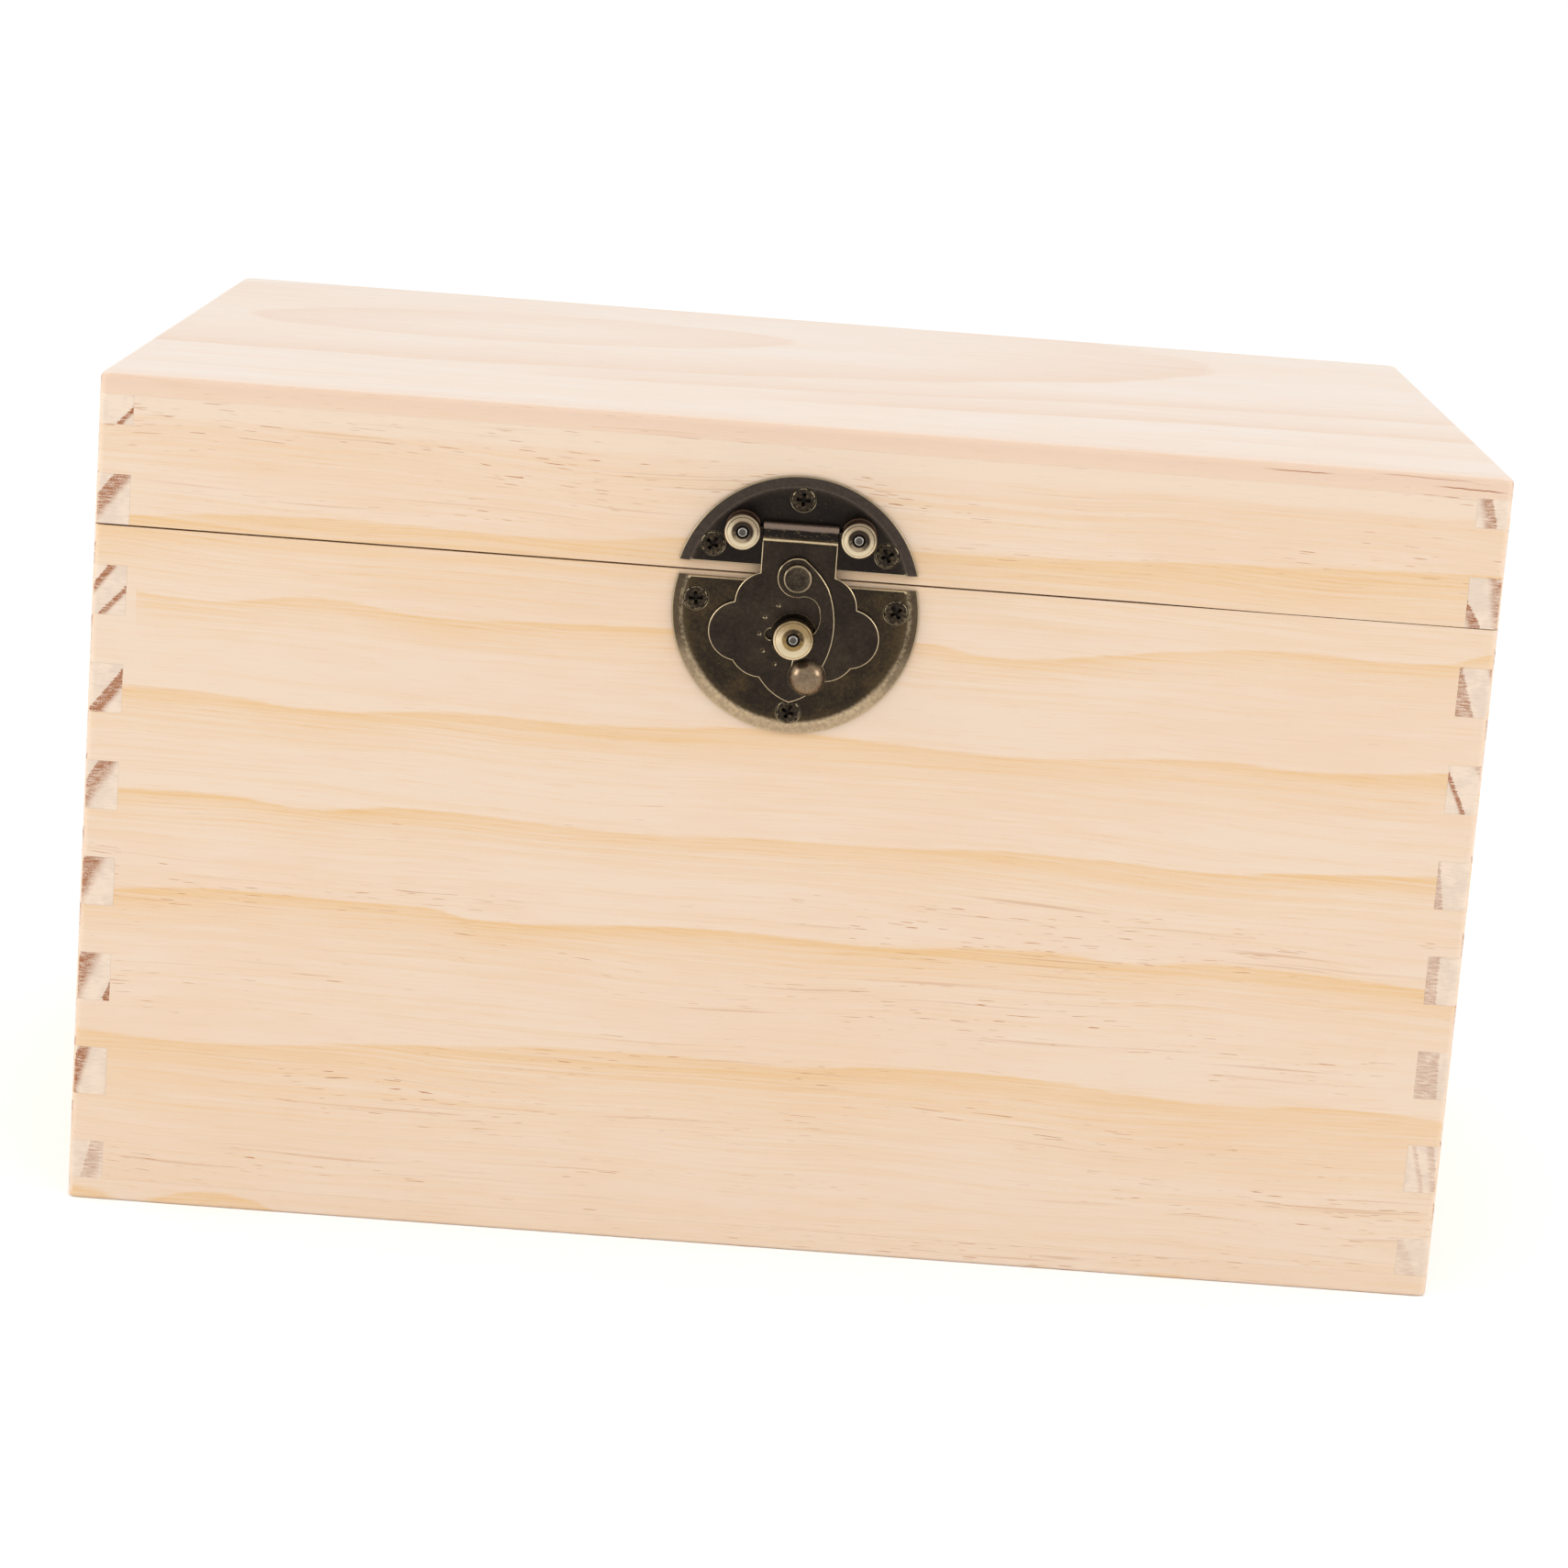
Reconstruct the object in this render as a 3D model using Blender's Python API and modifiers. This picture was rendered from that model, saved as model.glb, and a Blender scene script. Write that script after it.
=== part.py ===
"""A wooden tea box: a finger-jointed pine case sawn into a body and a lid, two butt hinges at
the back, and a round bronze latch with a hasp and a swinging hook on the front.

Metres, +Z up. The origin is the middle of the underside, and the front faces -Y.
Sizes called a level are heights above the wood that the fitting is screwed to.
"""

from itertools import count
from math import asin, atan2, ceil, cos, hypot, pi, radians, sin

import bmesh
import bpy
from mathutils import Euler, Matrix, Vector

MM = 0.001

# Fits
GAP = 0.3 * MM
SEAM = 0.4 * MM
OVERRUN = 5 * MM
WELD = 0.001 * MM

# Case
CASE_WIDTH = 280 * MM
CASE_DEPTH = 172 * MM
BODY_HEIGHT = 140.4 * MM
LID_HEIGHT = 30.4 * MM
BOARD = 7 * MM
BOTTOM_PANEL = 4.5 * MM
TOP_PANEL = 4.5 * MM
CORNER_ROUND = 1.7 * MM
TOP_ROUND = 1.5 * MM
BASE_EASE = 0.6 * MM

# Finger joints, cut before the case was sawn in two
FINGER = 10 * MM
FIRST_FINGER = 7.9 * MM
SAW_KERF = 2 * MM

# Screws
SCREW_HEAD_R = 2.3 * MM
SCREW_SHANK_R = 1.1 * MM
SCREW_LENGTH = 6 * MM
SCREW_HEAD_DEPTH = 1.1 * MM
SCREW_POINT = 1.5 * MM
RECESS_LENGTH = 2.6 * MM
RECESS_WIDTH = 0.6 * MM
RECESS_DEPTH = 0.6 * MM

# Latch plates: one disc, cut across, its halves set apart over the seam
PLATE = 1.3 * MM
RIM = 2.8 * MM
RIM_LIP = 0.5 * MM
RIM_MIDDLE_DROP = 0.26 * MM
PLATE_CUT_RISE = 6.2 * MM
UPPER_CHORD_RISE = 2 * MM
LOWER_CHORD_DROP = 1 * MM
SCREW_LAND = 1.8 * MM
UPPER_SCREW_ANGLES = (radians(30), radians(90), radians(150))
LOWER_SCREW_ANGLES = (radians(5), radians(175), radians(270))

# Posts and their rivets
POST_R = 3.55 * MM
POST_WAIST_R = 3.1 * MM
POST_LEVEL = 9 * MM
POST_FOOT = 1 * MM
POST_CAP = 1.8 * MM
POST_EDGE = 0.4 * MM
POST_LAND = 0.3 * MM
RIVET_R = 0.95 * MM
RIVET_SUNK = 0.3 * MM
KEEPER_CAP_R = 4.05 * MM
KEEPER_NECK_R = 2.2 * MM
KEEPER_FOOT_R = 3.4 * MM
KEEPER_CAP = 3 * MM
KEEPER_FOOT = 0.7 * MM

# Hasp
HASP_SHEET = 0.8 * MM
PIN_R = 0.65 * MM
PIN_RISE = 7.6 * MM
KNUCKLE_WALL = 0.75 * MM
NECK_WIDTH = 15 * MM
NECK_SHOULDER_DROP = 8.8 * MM
PIN_END_PLAY = 0.4 * MM
POST_BORE_WALL = 0.5 * MM
KEEPER_DROP = 21.1 * MM
CLOUD_HALF_WIDTH = 17.1 * MM
# Each corner of the cloud's right half, and how far its edge bulges on the way there from the last one
CLOUD_CORNER_SHARES = (
    ((0.713, 0.357), 0.075),
    ((0.69, -0.345), 0.295),
    ((0.37, -0.525), 0.045),
    ((0, -0.8), 0.04),
)
CAP_PASS = 0.45 * MM
NOTCH_R = 1.1 * MM
DOT_RING_R = 6.85 * MM
DOT_R = 0.7 * MM
DOT_DEPTH = 0.3 * MM
DOT_ANGLES = tuple(radians(angle) for angle in (120, 150, 180, 210, 240))

# Hook
HOOK_SHEET = 1 * MM
HOOK_DROP = 9.2 * MM
HOOK_HEAD_R = 4.05 * MM
HOOK_RIVET_R = 2.85 * MM
HOOK_RIVET_SHANK_R = 1.1 * MM
HOOK_RIVET_HEAD = 1 * MM
HOOK_RIVET_DOME = 0.1 * MM
HOOK_CAP_PLAY = 0.6 * MM
HOOK_NECK_PLAY = 0.55 * MM
BALL_R = 3.85 * MM
BALL_RISE = 3.9 * MM
BALL_GAP = 0.6 * MM
BALL_TURN = radians(22)
HEAD_FOOT_TURN = -radians(71)
HEAD_TOP_TURN = radians(72)
HEAD_SWELL = 0.4 * MM
ARM_SHOULDER_OUT = 6.3 * MM
ARM_SHOULDER_DROP = 1.7 * MM
ARM_SWELL = 1.7 * MM
ARM_END_TURN = radians(37)
BALL_BACK_TURN = -radians(215)
CROOK_OUT = 4.7 * MM
CROOK_DROP = 6.6 * MM
CROOK_SWELL = 0.95 * MM
HUG_START = -radians(80)
HUG_END = -radians(5)

# Hinges
HINGE_WIDTH = 30 * MM
HINGE_LEAF_HEIGHT = 13 * MM
HINGE_SHEET = 1 * MM
HINGE_KNUCKLE_R = 2 * MM
HINGE_PIN_R = 0.9 * MM
HINGE_SPREAD_SHARE = 0.29
HINGE_SCREW_SHARE = 0.27
HINGE_SCREW_EDGE = 5.2 * MM
HINGE_WEB_LAP = 0.4 * MM

# Smoothness
ARC_STEP = radians(9)
ROUND_SIDES = 32
SMALL_SIDES = 20
DISC_SIDES = 72
CASE_ROUND_STEPS = 4
TOP_ROUND_STEPS = 4
BASE_EASE_STEPS = 2
BALL_STEPS = 8
SMOOTH_ANGLE = radians(35)

# Levels, each worked out from what lies beneath it
PLATE_FRONT = GAP + PLATE
HASP_BACK = PLATE_FRONT + GAP
HASP_FRONT = HASP_BACK + HASP_SHEET
HOOK_BACK = HASP_FRONT + GAP
HOOK_FRONT = HOOK_BACK + HOOK_SHEET
KEEPER_CAP_BACK = HOOK_FRONT + HOOK_CAP_PLAY
KEEPER_LEVEL = KEEPER_CAP_BACK + KEEPER_CAP
KNUCKLE_BORE_R = PIN_R + GAP
KNUCKLE_R = KNUCKLE_BORE_R + KNUCKLE_WALL
PIN_LEVEL = HASP_BACK + KNUCKLE_R
HINGE_PIN_LEVEL = GAP + HINGE_KNUCKLE_R
HINGE_FRONT = GAP + HINGE_SHEET

# Heights on the case
FRAME_BASE = BOTTOM_PANEL + GAP
LID_BASE = BODY_HEIGHT + SEAM
CASE_HEIGHT = LID_BASE + LID_HEIGHT
LID_FRAME_TOP = CASE_HEIGHT - TOP_PANEL - GAP
SAW_SHIFT = SAW_KERF - SEAM
SEAM_HEIGHT = BODY_HEIGHT + SEAM / 2
UPPER_CHORD = SEAM_HEIGHT + UPPER_CHORD_RISE
LOWER_CHORD = SEAM_HEIGHT - LOWER_CHORD_DROP
PIN_HEIGHT = UPPER_CHORD + PIN_RISE
KEEPER_HEIGHT = PIN_HEIGHT - KEEPER_DROP
HOOK_HEIGHT = PIN_HEIGHT - HOOK_DROP

# The disc is as large as the posts and the rim need
POST_X = NECK_WIDTH / 2 + PIN_END_PLAY + POST_R
DISC_R = hypot(POST_X, PIN_RISE + PLATE_CUT_RISE) + POST_R + POST_LAND + RIM
SCREW_RING_R = DISC_R - RIM - SCREW_LAND
UPPER_DISC_HEIGHT = UPPER_CHORD - PLATE_CUT_RISE
LOWER_DISC_HEIGHT = LOWER_CHORD - PLATE_CUT_RISE
KEEPER_HOLE_R = KEEPER_CAP_R + CAP_PASS
RIVET_HOLE_R = RIVET_R + GAP


def new_collection(name):
    found = bpy.data.collections.new(name)
    bpy.context.scene.collection.children.link(found)
    return found


def new_material(name, colour, roughness, metallic):
    material = bpy.data.materials.new(name)
    material.use_nodes = True
    shader = material.node_tree.nodes["Principled BSDF"]
    shader.inputs["Base Color"].default_value = (*colour, 1)
    shader.inputs["Roughness"].default_value = roughness
    shader.inputs["Metallic"].default_value = metallic
    material.diffuse_color = (*colour, 1)
    return material


def new_empty(name, location, rotation, parent=None):
    """An empty that pieces are placed from, with its local +Z pointing away from the wood."""
    empty = bpy.data.objects.new(name, None)
    empty.location = location
    empty.rotation_euler = rotation
    empty.parent = parent
    parts.objects.link(empty)
    return empty


def add_object(name, mesh, material, parent=None, location=(0, 0, 0)):
    """A sub-part, in the collection of the parts."""
    obj = bpy.data.objects.new(name, mesh)
    if not mesh.materials:
        mesh.materials.append(material)
    obj.parent = parent
    obj.location = location
    parts.objects.link(obj)
    return obj


def add_cutter(name, mesh, parent=None, location=(0, 0, 0)):
    """A guide for a Boolean, which isn't part of the model."""
    obj = bpy.data.objects.new(name, mesh)
    obj.parent = parent
    obj.location = location
    obj.hide_render = True
    obj.display_type = "WIRE"
    cutters.objects.link(obj)
    return obj


def add_boolean(obj, cutter, operation="DIFFERENCE"):
    boolean = obj.modifiers.new(cutter.name, "BOOLEAN")
    boolean.object = cutter
    boolean.operation = operation
    boolean.solver = "EXACT"


def finish_mesh(bm, name):
    """Turns bm into a mesh with smooth rounds and sharp corners."""
    mesh = bpy.data.meshes.new(name)
    bmesh.ops.recalc_face_normals(bm, faces=bm.faces)
    bm.to_mesh(mesh)
    bm.free()
    mesh.shade_smooth()
    mesh.set_sharp_from_angle(angle=SMOOTH_ANGLE)
    return mesh


def boxes_mesh(name, boxes):
    """A mesh of separate boxes, each given by its lowest and highest corner."""
    bm = bmesh.new()
    for low, high in boxes:
        low, high = Vector(low), Vector(high)
        place = Matrix.LocRotScale((low + high) / 2, None, high - low)
        bmesh.ops.create_cube(bm, size=1, matrix=place)
    return finish_mesh(bm, name)


def add_rod(bm, start, end, radius, end_radius=None, sides=ROUND_SIDES):
    """Adds a closed cylinder, or a cone, from start to end."""
    start, end = Vector(start), Vector(end)
    run = end - start
    turn = run.to_track_quat("Z", "Y")
    bmesh.ops.create_cone(
        bm,
        cap_ends=True,
        segments=sides,
        radius1=radius,
        radius2=radius if end_radius is None else end_radius,
        depth=run.length,
        matrix=Matrix.LocRotScale((start + end) / 2, turn, None),
    )


def rods_mesh(name, rods, sides=ROUND_SIDES):
    """A mesh of separate rods, each a start, an end and one or two radii."""
    bm = bmesh.new()
    for start, end, *radii in rods:
        add_rod(bm, start, end, *radii, sides=sides)
    return finish_mesh(bm, name)


def apply_modifiers(obj):
    """Swaps obj for its evaluated mesh and returns that mesh."""
    bpy.context.view_layer.update()
    evaluated = obj.evaluated_get(bpy.context.evaluated_depsgraph_get())
    mesh = bpy.data.meshes.new_from_object(evaluated)
    mesh.name = obj.name
    bpy.data.objects.remove(obj)
    return mesh


def turned_mesh(name, profile, sides=ROUND_SIDES):
    """A profile of (radius, height) points, from the top of the axis to its foot, turned about Z."""
    bm = bmesh.new()
    points = [bm.verts.new((radius, 0, height)) for radius, height in profile]
    for first, second in zip(points, points[1:]):
        bm.edges.new((first, second))
    mesh = bpy.data.meshes.new(name + "_profile")
    bm.to_mesh(mesh)
    bm.free()
    guide = add_cutter(name + "_turning", mesh)
    screw = guide.modifiers.new("turn", "SCREW")
    screw.steps = sides
    screw.render_steps = sides
    screw.use_merge_vertices = True
    screw.merge_threshold = WELD
    turned = apply_modifiers(guide)
    turned.name = name
    turned.shade_smooth()
    turned.set_sharp_from_angle(angle=SMOOTH_ANGLE)
    return turned


def outline_mesh(name, outline, holes, thickness):
    """A flat sheet with a closed outline and holes, centred on its own mid-plane."""
    curve = bpy.data.curves.new(name, "CURVE")
    curve.dimensions = "2D"
    curve.fill_mode = "BOTH"
    curve.extrude = thickness / 2
    for ring in (outline, *holes):
        spline = curve.splines.new("POLY")
        spline.points.add(len(ring) - 1)
        for point, (x, y) in zip(spline.points, ring):
            point.co = (x, y, 0, 1)
        spline.use_cyclic_u = True
    mesh = apply_modifiers(add_cutter(name + "_outline", curve))
    bm = bmesh.new()
    bm.from_mesh(mesh)
    bmesh.ops.remove_doubles(bm, verts=bm.verts, dist=WELD)
    return finish_mesh(bm, name)


def arc(centre, radius, start, end):
    """Points along an arc, with its end left out."""
    steps = max(2, ceil(abs(end - start) / ARC_STEP))
    turns = [start + (end - start) * step / steps for step in range(steps)]
    return [(centre[0] + radius * cos(turn), centre[1] + radius * sin(turn)) for turn in turns]


def circle(centre, radius):
    return arc(centre, radius, 0, 2 * pi)


def bulge(start, end, height):
    """Points of an arc from start that bulges to the left of the way to end, which is left out."""
    start, end = Vector(start), Vector(end)
    if abs(height) < WELD:
        return [tuple(start)]
    run = end - start
    radius = run.length**2 / (8 * abs(height)) + abs(height) / 2
    half = asin(min(1, run.length / (2 * radius)))
    if abs(height) > run.length / 2:
        half = pi - half
    left = Vector((-run.y, run.x)).normalized() * (1 if height > 0 else -1)
    centre = (start + end) / 2 + left * (abs(height) - radius)
    middle = atan2(left.y, left.x)
    sweep = half if height > 0 else -half
    return arc(centre, radius, middle + sweep, middle - sweep)


def finger_edges():
    """Heights of the joint's steps in the case as it was glued up, with its top."""
    top = LID_FRAME_TOP + SAW_SHIFT
    edges = [FRAME_BASE]
    step = BOTTOM_PANEL + FIRST_FINGER
    while step < top:
        edges.append(step)
        step += FINGER
    return edges + [top]


def finger_ranges(low, high, shift, owner):
    """Cuts in one half of the case for the owner's fingers: 0 is the sides, 1 the front and back."""
    edges = finger_edges()
    ranges = []
    for index, (start, end) in enumerate(zip(edges, edges[1:])):
        start, end = start - shift, end - shift
        if index % 2 != owner or end <= low + GAP or start >= high - GAP:
            continue
        cut_start = low - OVERRUN if start <= low + GAP else start - GAP / 2
        cut_end = high + OVERRUN if end >= high - GAP else end + GAP / 2
        ranges.append((cut_start, cut_end))
    return ranges


def frame_board(name, along, across, low, high, cuts):
    """A board that runs along one axis, with notched ends. Its place across is a pair of numbers."""
    half = (CASE_DEPTH if along else CASE_WIDTH) / 2
    reach = BOARD + GAP

    def box(run, width, bottom, top):
        pairs = (width, run) if along else (run, width)
        return tuple(pair[0] for pair in pairs) + (bottom,), tuple(pair[1] for pair in pairs) + (top,)

    board = add_object(name, boxes_mesh(name, [box((-half, half), across, low, high)]), pine)
    wide = (across[0] - OVERRUN, across[1] + OVERRUN)
    notches = [
        box((end * half - reach, end * half + reach), wide, start, stop)
        for end in (-1, 1)
        for start, stop in cuts
    ]
    add_boolean(board, add_cutter(name + "_notches", boxes_mesh(name + "_notches", notches)))
    add_boolean(board, case_envelope, "INTERSECT")
    return board


def frame_boards(prefix, low, high, shift):
    """The four finger-jointed boards of the body or of the lid."""
    made = {}
    for end, along, side in (("front", 0, -1), ("back", 0, 1), ("left", 1, -1), ("right", 1, 1)):
        half = (CASE_WIDTH if along else CASE_DEPTH) / 2
        across = sorted((side * (half - BOARD), side * half))
        cuts = finger_ranges(low, high, shift, along)
        made[end] = frame_board(f"{prefix}_{end}_board", along, across, low, high, cuts)
    return made


def rounded_box_mesh(name, low, high, picks, radius, steps):
    """A box whose edges that picks() accepts are rounded."""
    bm = bmesh.new()
    low, high = Vector(low), Vector(high)
    bmesh.ops.create_cube(bm, size=1, matrix=Matrix.LocRotScale((low + high) / 2, None, high - low))
    edges = [edge for edge in bm.edges if picks(edge)]
    bmesh.ops.bevel(bm, geom=edges, offset=radius, segments=steps, profile=0.5, affect="EDGES")
    return finish_mesh(bm, name)


def is_upright(edge):
    run = edge.verts[0].co - edge.verts[1].co
    return hypot(run.x, run.y) < WELD


def edge_at(height):
    """A test for the edges that lie at one height."""
    return lambda edge: all(abs(vert.co.z - height) < WELD for vert in edge.verts)


def case_corners(low, high):
    return (-CASE_WIDTH / 2, -CASE_DEPTH / 2, low), (CASE_WIDTH / 2, CASE_DEPTH / 2, high)


def settle(obj):
    """Applies the Booleans of obj, so that the edges that they cut are shaded sharp."""
    evaluated = obj.evaluated_get(bpy.context.evaluated_depsgraph_get())
    mesh = bpy.data.meshes.new_from_object(evaluated)
    mesh.name = obj.name
    mesh.shade_smooth()
    mesh.set_sharp_from_angle(angle=SMOOTH_ANGLE)
    obj.modifiers.clear()
    obj.data = mesh


def screw_profile():
    """Half the outline of a countersunk screw, its head's face at height 0."""
    return (
        (0, 0),
        (SCREW_HEAD_R, 0),
        (SCREW_SHANK_R, -SCREW_HEAD_DEPTH),
        (SCREW_SHANK_R, SCREW_POINT - SCREW_LENGTH),
        (0, -SCREW_LENGTH),
    )


def screw_mesh():
    """A cross-head screw, which all the screws share."""
    guide = add_cutter("screw_blank", turned_mesh("screw_blank", screw_profile(), SMALL_SIDES))
    long_half, short_half = RECESS_LENGTH / 2, RECESS_WIDTH / 2
    for name, half_x, half_y in (("across", long_half, short_half), ("along", short_half, long_half)):
        slot = boxes_mesh(name, [((-half_x, -half_y, -RECESS_DEPTH), (half_x, half_y, OVERRUN))])
        add_boolean(guide, add_cutter("screw_slot_" + name, slot))
    mesh = apply_modifiers(guide)
    mesh.name = "screw"
    mesh.shade_smooth()
    mesh.set_sharp_from_angle(angle=SMOOTH_ANGLE)
    return mesh


def screw_holes(name, places, parent, face):
    """A cutter for countersunk screw holes, through the fitting and on into the wood."""
    rods = []
    for x, y in places:
        head_r, shank_r = SCREW_HEAD_R + GAP, SCREW_SHANK_R + GAP
        foot = face - SCREW_HEAD_DEPTH
        slope = (head_r - shank_r) / SCREW_HEAD_DEPTH
        rods.append(((x, y, foot), (x, y, face + OVERRUN), shank_r, head_r + slope * OVERRUN))
    sinks = add_cutter(name + "_sinks", rods_mesh(name + "_sinks", rods, SMALL_SIDES), parent)
    foot = face - SCREW_LENGTH - GAP
    rods = [((x, y, foot), (x, y, face), SCREW_SHANK_R + GAP) for x, y in places]
    pilots = add_cutter(name + "_pilots", rods_mesh(name + "_pilots", rods, SMALL_SIDES), parent)
    return sinks, pilots


def place_screws(name, numbers, places, parent, face):
    for (x, y), number in zip(places, numbers):
        add_object(f"{name}_{number}", screw_blank, dark_bronze, parent, (x, y, face))


def latch_plate(name, disc_height, keep_above, angles, holes):
    """One half of the latch's disc. Returns the cutter for its screws' pilots, and their places."""
    profile = (
        (0, PLATE_FRONT),
        (DISC_R - RIM, PLATE_FRONT),
        (DISC_R - RIM / 2, PLATE_FRONT - RIM_MIDDLE_DROP),
        (DISC_R, GAP + RIM_LIP),
        (DISC_R, GAP),
        (0, GAP),
    )
    disc = turned_mesh(name, profile, DISC_SIDES)
    plate = add_object(name, disc, dark_bronze, latch_face, (0, disc_height, 0))
    far = DISC_R + OVERRUN
    cut_low, cut_high = (-far, PLATE_CUT_RISE) if keep_above else (PLATE_CUT_RISE, far)
    waste = boxes_mesh(name + "_waste", [((-far, cut_low, -OVERRUN), (far, cut_high, OVERRUN))])
    add_boolean(plate, add_cutter(name + "_waste", waste, latch_face, (0, disc_height, 0)))
    places = [(SCREW_RING_R * cos(turn), disc_height + SCREW_RING_R * sin(turn)) for turn in angles]
    sinks, pilots = screw_holes(name, places, latch_face, PLATE_FRONT)
    rods = [((x, y, -OVERRUN), (x, y, OVERRUN), RIVET_HOLE_R) for x, y in holes]
    rivet_holes = add_cutter(name + "_rivet_holes", rods_mesh(name + "_rivet_holes", rods), latch_face)
    for cutter in (sinks, pilots, rivet_holes):
        add_boolean(plate, cutter)
    return pilots, places


def post_profile(radius, waist, foot_radius, foot, cap_back, level):
    """Half the outline of a post with a foot, a waist and a dished cap, from the top of its bore."""
    dish = (radius - RIVET_HOLE_R) / 2
    return (
        (RIVET_HOLE_R, level - POST_EDGE),
        (RIVET_HOLE_R + dish, level - POST_EDGE / 4),
        (radius - POST_EDGE, level),
        (radius - POST_EDGE / 4, level - POST_EDGE / 3),
        (radius, level - POST_EDGE),
        (radius, cap_back + POST_EDGE),
        (radius - POST_EDGE, cap_back),
        (waist, cap_back),
        (waist, foot),
        (foot_radius, foot - POST_EDGE),
        (foot_radius, HASP_BACK),
        (RIVET_HOLE_R, HASP_BACK),
        (RIVET_HOLE_R, level - POST_EDGE),
    )


def rivet_profile(level):
    """Half the outline of a post's rivet, from its rounded end down to the back of the plate."""
    return (
        (0, level),
        (RIVET_R / 2, level - RIVET_R / 8),
        (RIVET_R, level - RIVET_R / 2),
        (RIVET_R, GAP),
        (0, GAP),
    )


def hasp_sheet():
    """The hasp's flat sheet, from the middle of its knuckle down. Its origin is on the pin."""
    half_neck = NECK_WIDTH / 2
    corners = [((half_neck, 0), 0), ((half_neck, -NECK_SHOULDER_DROP), 0)]
    for (x_share, y_share), swell in CLOUD_CORNER_SHARES:
        corner = (x_share * CLOUD_HALF_WIDTH, y_share * CLOUD_HALF_WIDTH - KEEPER_DROP)
        corners.append((corner, swell * CLOUD_HALF_WIDTH))
    right = []
    for (start, _), (end, swell) in zip(corners, corners[1:]):
        right += bulge(start, end, swell)
    tip = corners[-1][0]
    left = [(-x, y) for x, y in reversed(right)]
    keeper_hole = keeper_hole_outline((0, -KEEPER_DROP))
    rivet_hole = circle((0, -HOOK_DROP), HOOK_RIVET_SHANK_R + GAP)
    return outline_mesh("hasp_plate", right + [tip] + left, (keeper_hole, rivet_hole), HASP_SHEET)


def keeper_hole_outline(centre):
    """A round hole with a small round notch on its left."""
    half = 2 * asin(NOTCH_R / (2 * KEEPER_HOLE_R))
    ring = arc(centre, KEEPER_HOLE_R, half - pi, pi - half)
    notch_centre = (centre[0] - KEEPER_HOLE_R, centre[1])
    return ring + arc(notch_centre, NOTCH_R, pi / 2, 3 * pi / 2)


def build_hasp():
    """The hasp: the sheet, its rolled knuckle round the pin and a fan of punched dots."""
    sheet_level = HASP_BACK + HASP_SHEET / 2 - PIN_LEVEL
    mesh = hasp_sheet()
    mesh.transform(Matrix.Translation((0, 0, sheet_level)))
    hasp = add_object("hasp_plate", mesh, dark_bronze, latch_face, (0, PIN_HEIGHT, PIN_LEVEL))
    half_neck = NECK_WIDTH / 2
    knuckle = rods_mesh("hasp_knuckle", [((-half_neck, 0, 0), (half_neck, 0, 0), KNUCKLE_R)])
    add_boolean(hasp, add_cutter("hasp_knuckle", knuckle, hasp), "UNION")
    far = half_neck + OVERRUN
    bore = rods_mesh("hasp_bore", [((-far, 0, 0), (far, 0, 0), KNUCKLE_BORE_R)])
    add_boolean(hasp, add_cutter("hasp_bore", bore, hasp))
    top = HASP_FRONT - PIN_LEVEL
    dots = []
    for turn in DOT_ANGLES:
        x, y = DOT_RING_R * cos(turn), DOT_RING_R * sin(turn) - KEEPER_DROP
        dots.append(((x, y, top - DOT_DEPTH), (x, y, top + DOT_DEPTH), DOT_R / 2, DOT_R))
    add_boolean(hasp, add_cutter("hasp_dots", rods_mesh("hasp_dots", dots, SMALL_SIDES), hasp))
    return hasp


def hook_outline():
    """The hook's outline about its rivet: a round head, an arm round the keeper's neck, and a ball."""

    def about(centre, radius, turn):
        return centre + radius * Vector((cos(turn), sin(turn)))

    rivet = Vector((0, 0))
    keeper = Vector((0, HOOK_DROP - KEEPER_DROP))
    neck_r = KEEPER_NECK_R + HOOK_NECK_PLAY
    ball = about(keeper, KEEPER_CAP_R + BALL_GAP + BALL_R, BALL_TURN - pi / 2)
    shoulder = Vector((ARM_SHOULDER_OUT, -ARM_SHOULDER_DROP))
    crook = Vector((CROOK_OUT, -CROOK_DROP))
    outline = arc(rivet, HOOK_HEAD_R, HEAD_FOOT_TURN, HEAD_TOP_TURN - 2 * pi)
    outline += bulge(about(rivet, HOOK_HEAD_R, HEAD_TOP_TURN), shoulder, HEAD_SWELL)
    outline += bulge(shoulder, about(ball, BALL_R, ARM_END_TURN), ARM_SWELL)
    outline += arc(ball, BALL_R, ARM_END_TURN, BALL_BACK_TURN)
    outline += arc(keeper, neck_r, HUG_START, HUG_END)
    outline += bulge(about(keeper, neck_r, HUG_END), crook, -CROOK_SWELL)
    outline += bulge(crook, about(rivet, HOOK_HEAD_R, HEAD_FOOT_TURN), -CROOK_SWELL)
    return outline, ball


def build_hook():
    """The hook: a flat arm with a round head, and a domed ball end."""
    outline, ball = hook_outline()
    rivet_hole = circle((0, 0), HOOK_RIVET_SHANK_R + GAP)
    mesh = outline_mesh("hook", outline, (rivet_hole,), HOOK_SHEET)
    mesh.transform(Matrix.Translation((0, 0, (HOOK_BACK + HOOK_FRONT) / 2)))
    hook = add_object("hook", mesh, dark_bronze, latch_face, (0, HOOK_HEIGHT, 0))
    turns = [pi / 2 * step / BALL_STEPS for step in range(BALL_STEPS + 1)]
    profile = [(BALL_R * sin(turn), HOOK_BACK + BALL_RISE * cos(turn)) for turn in turns]
    dome = turned_mesh("hook_ball", profile + [(0, HOOK_BACK)])
    add_boolean(hook, add_cutter("hook_ball", dome, hook, (*ball, 0)), "UNION")
    return hook


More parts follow.
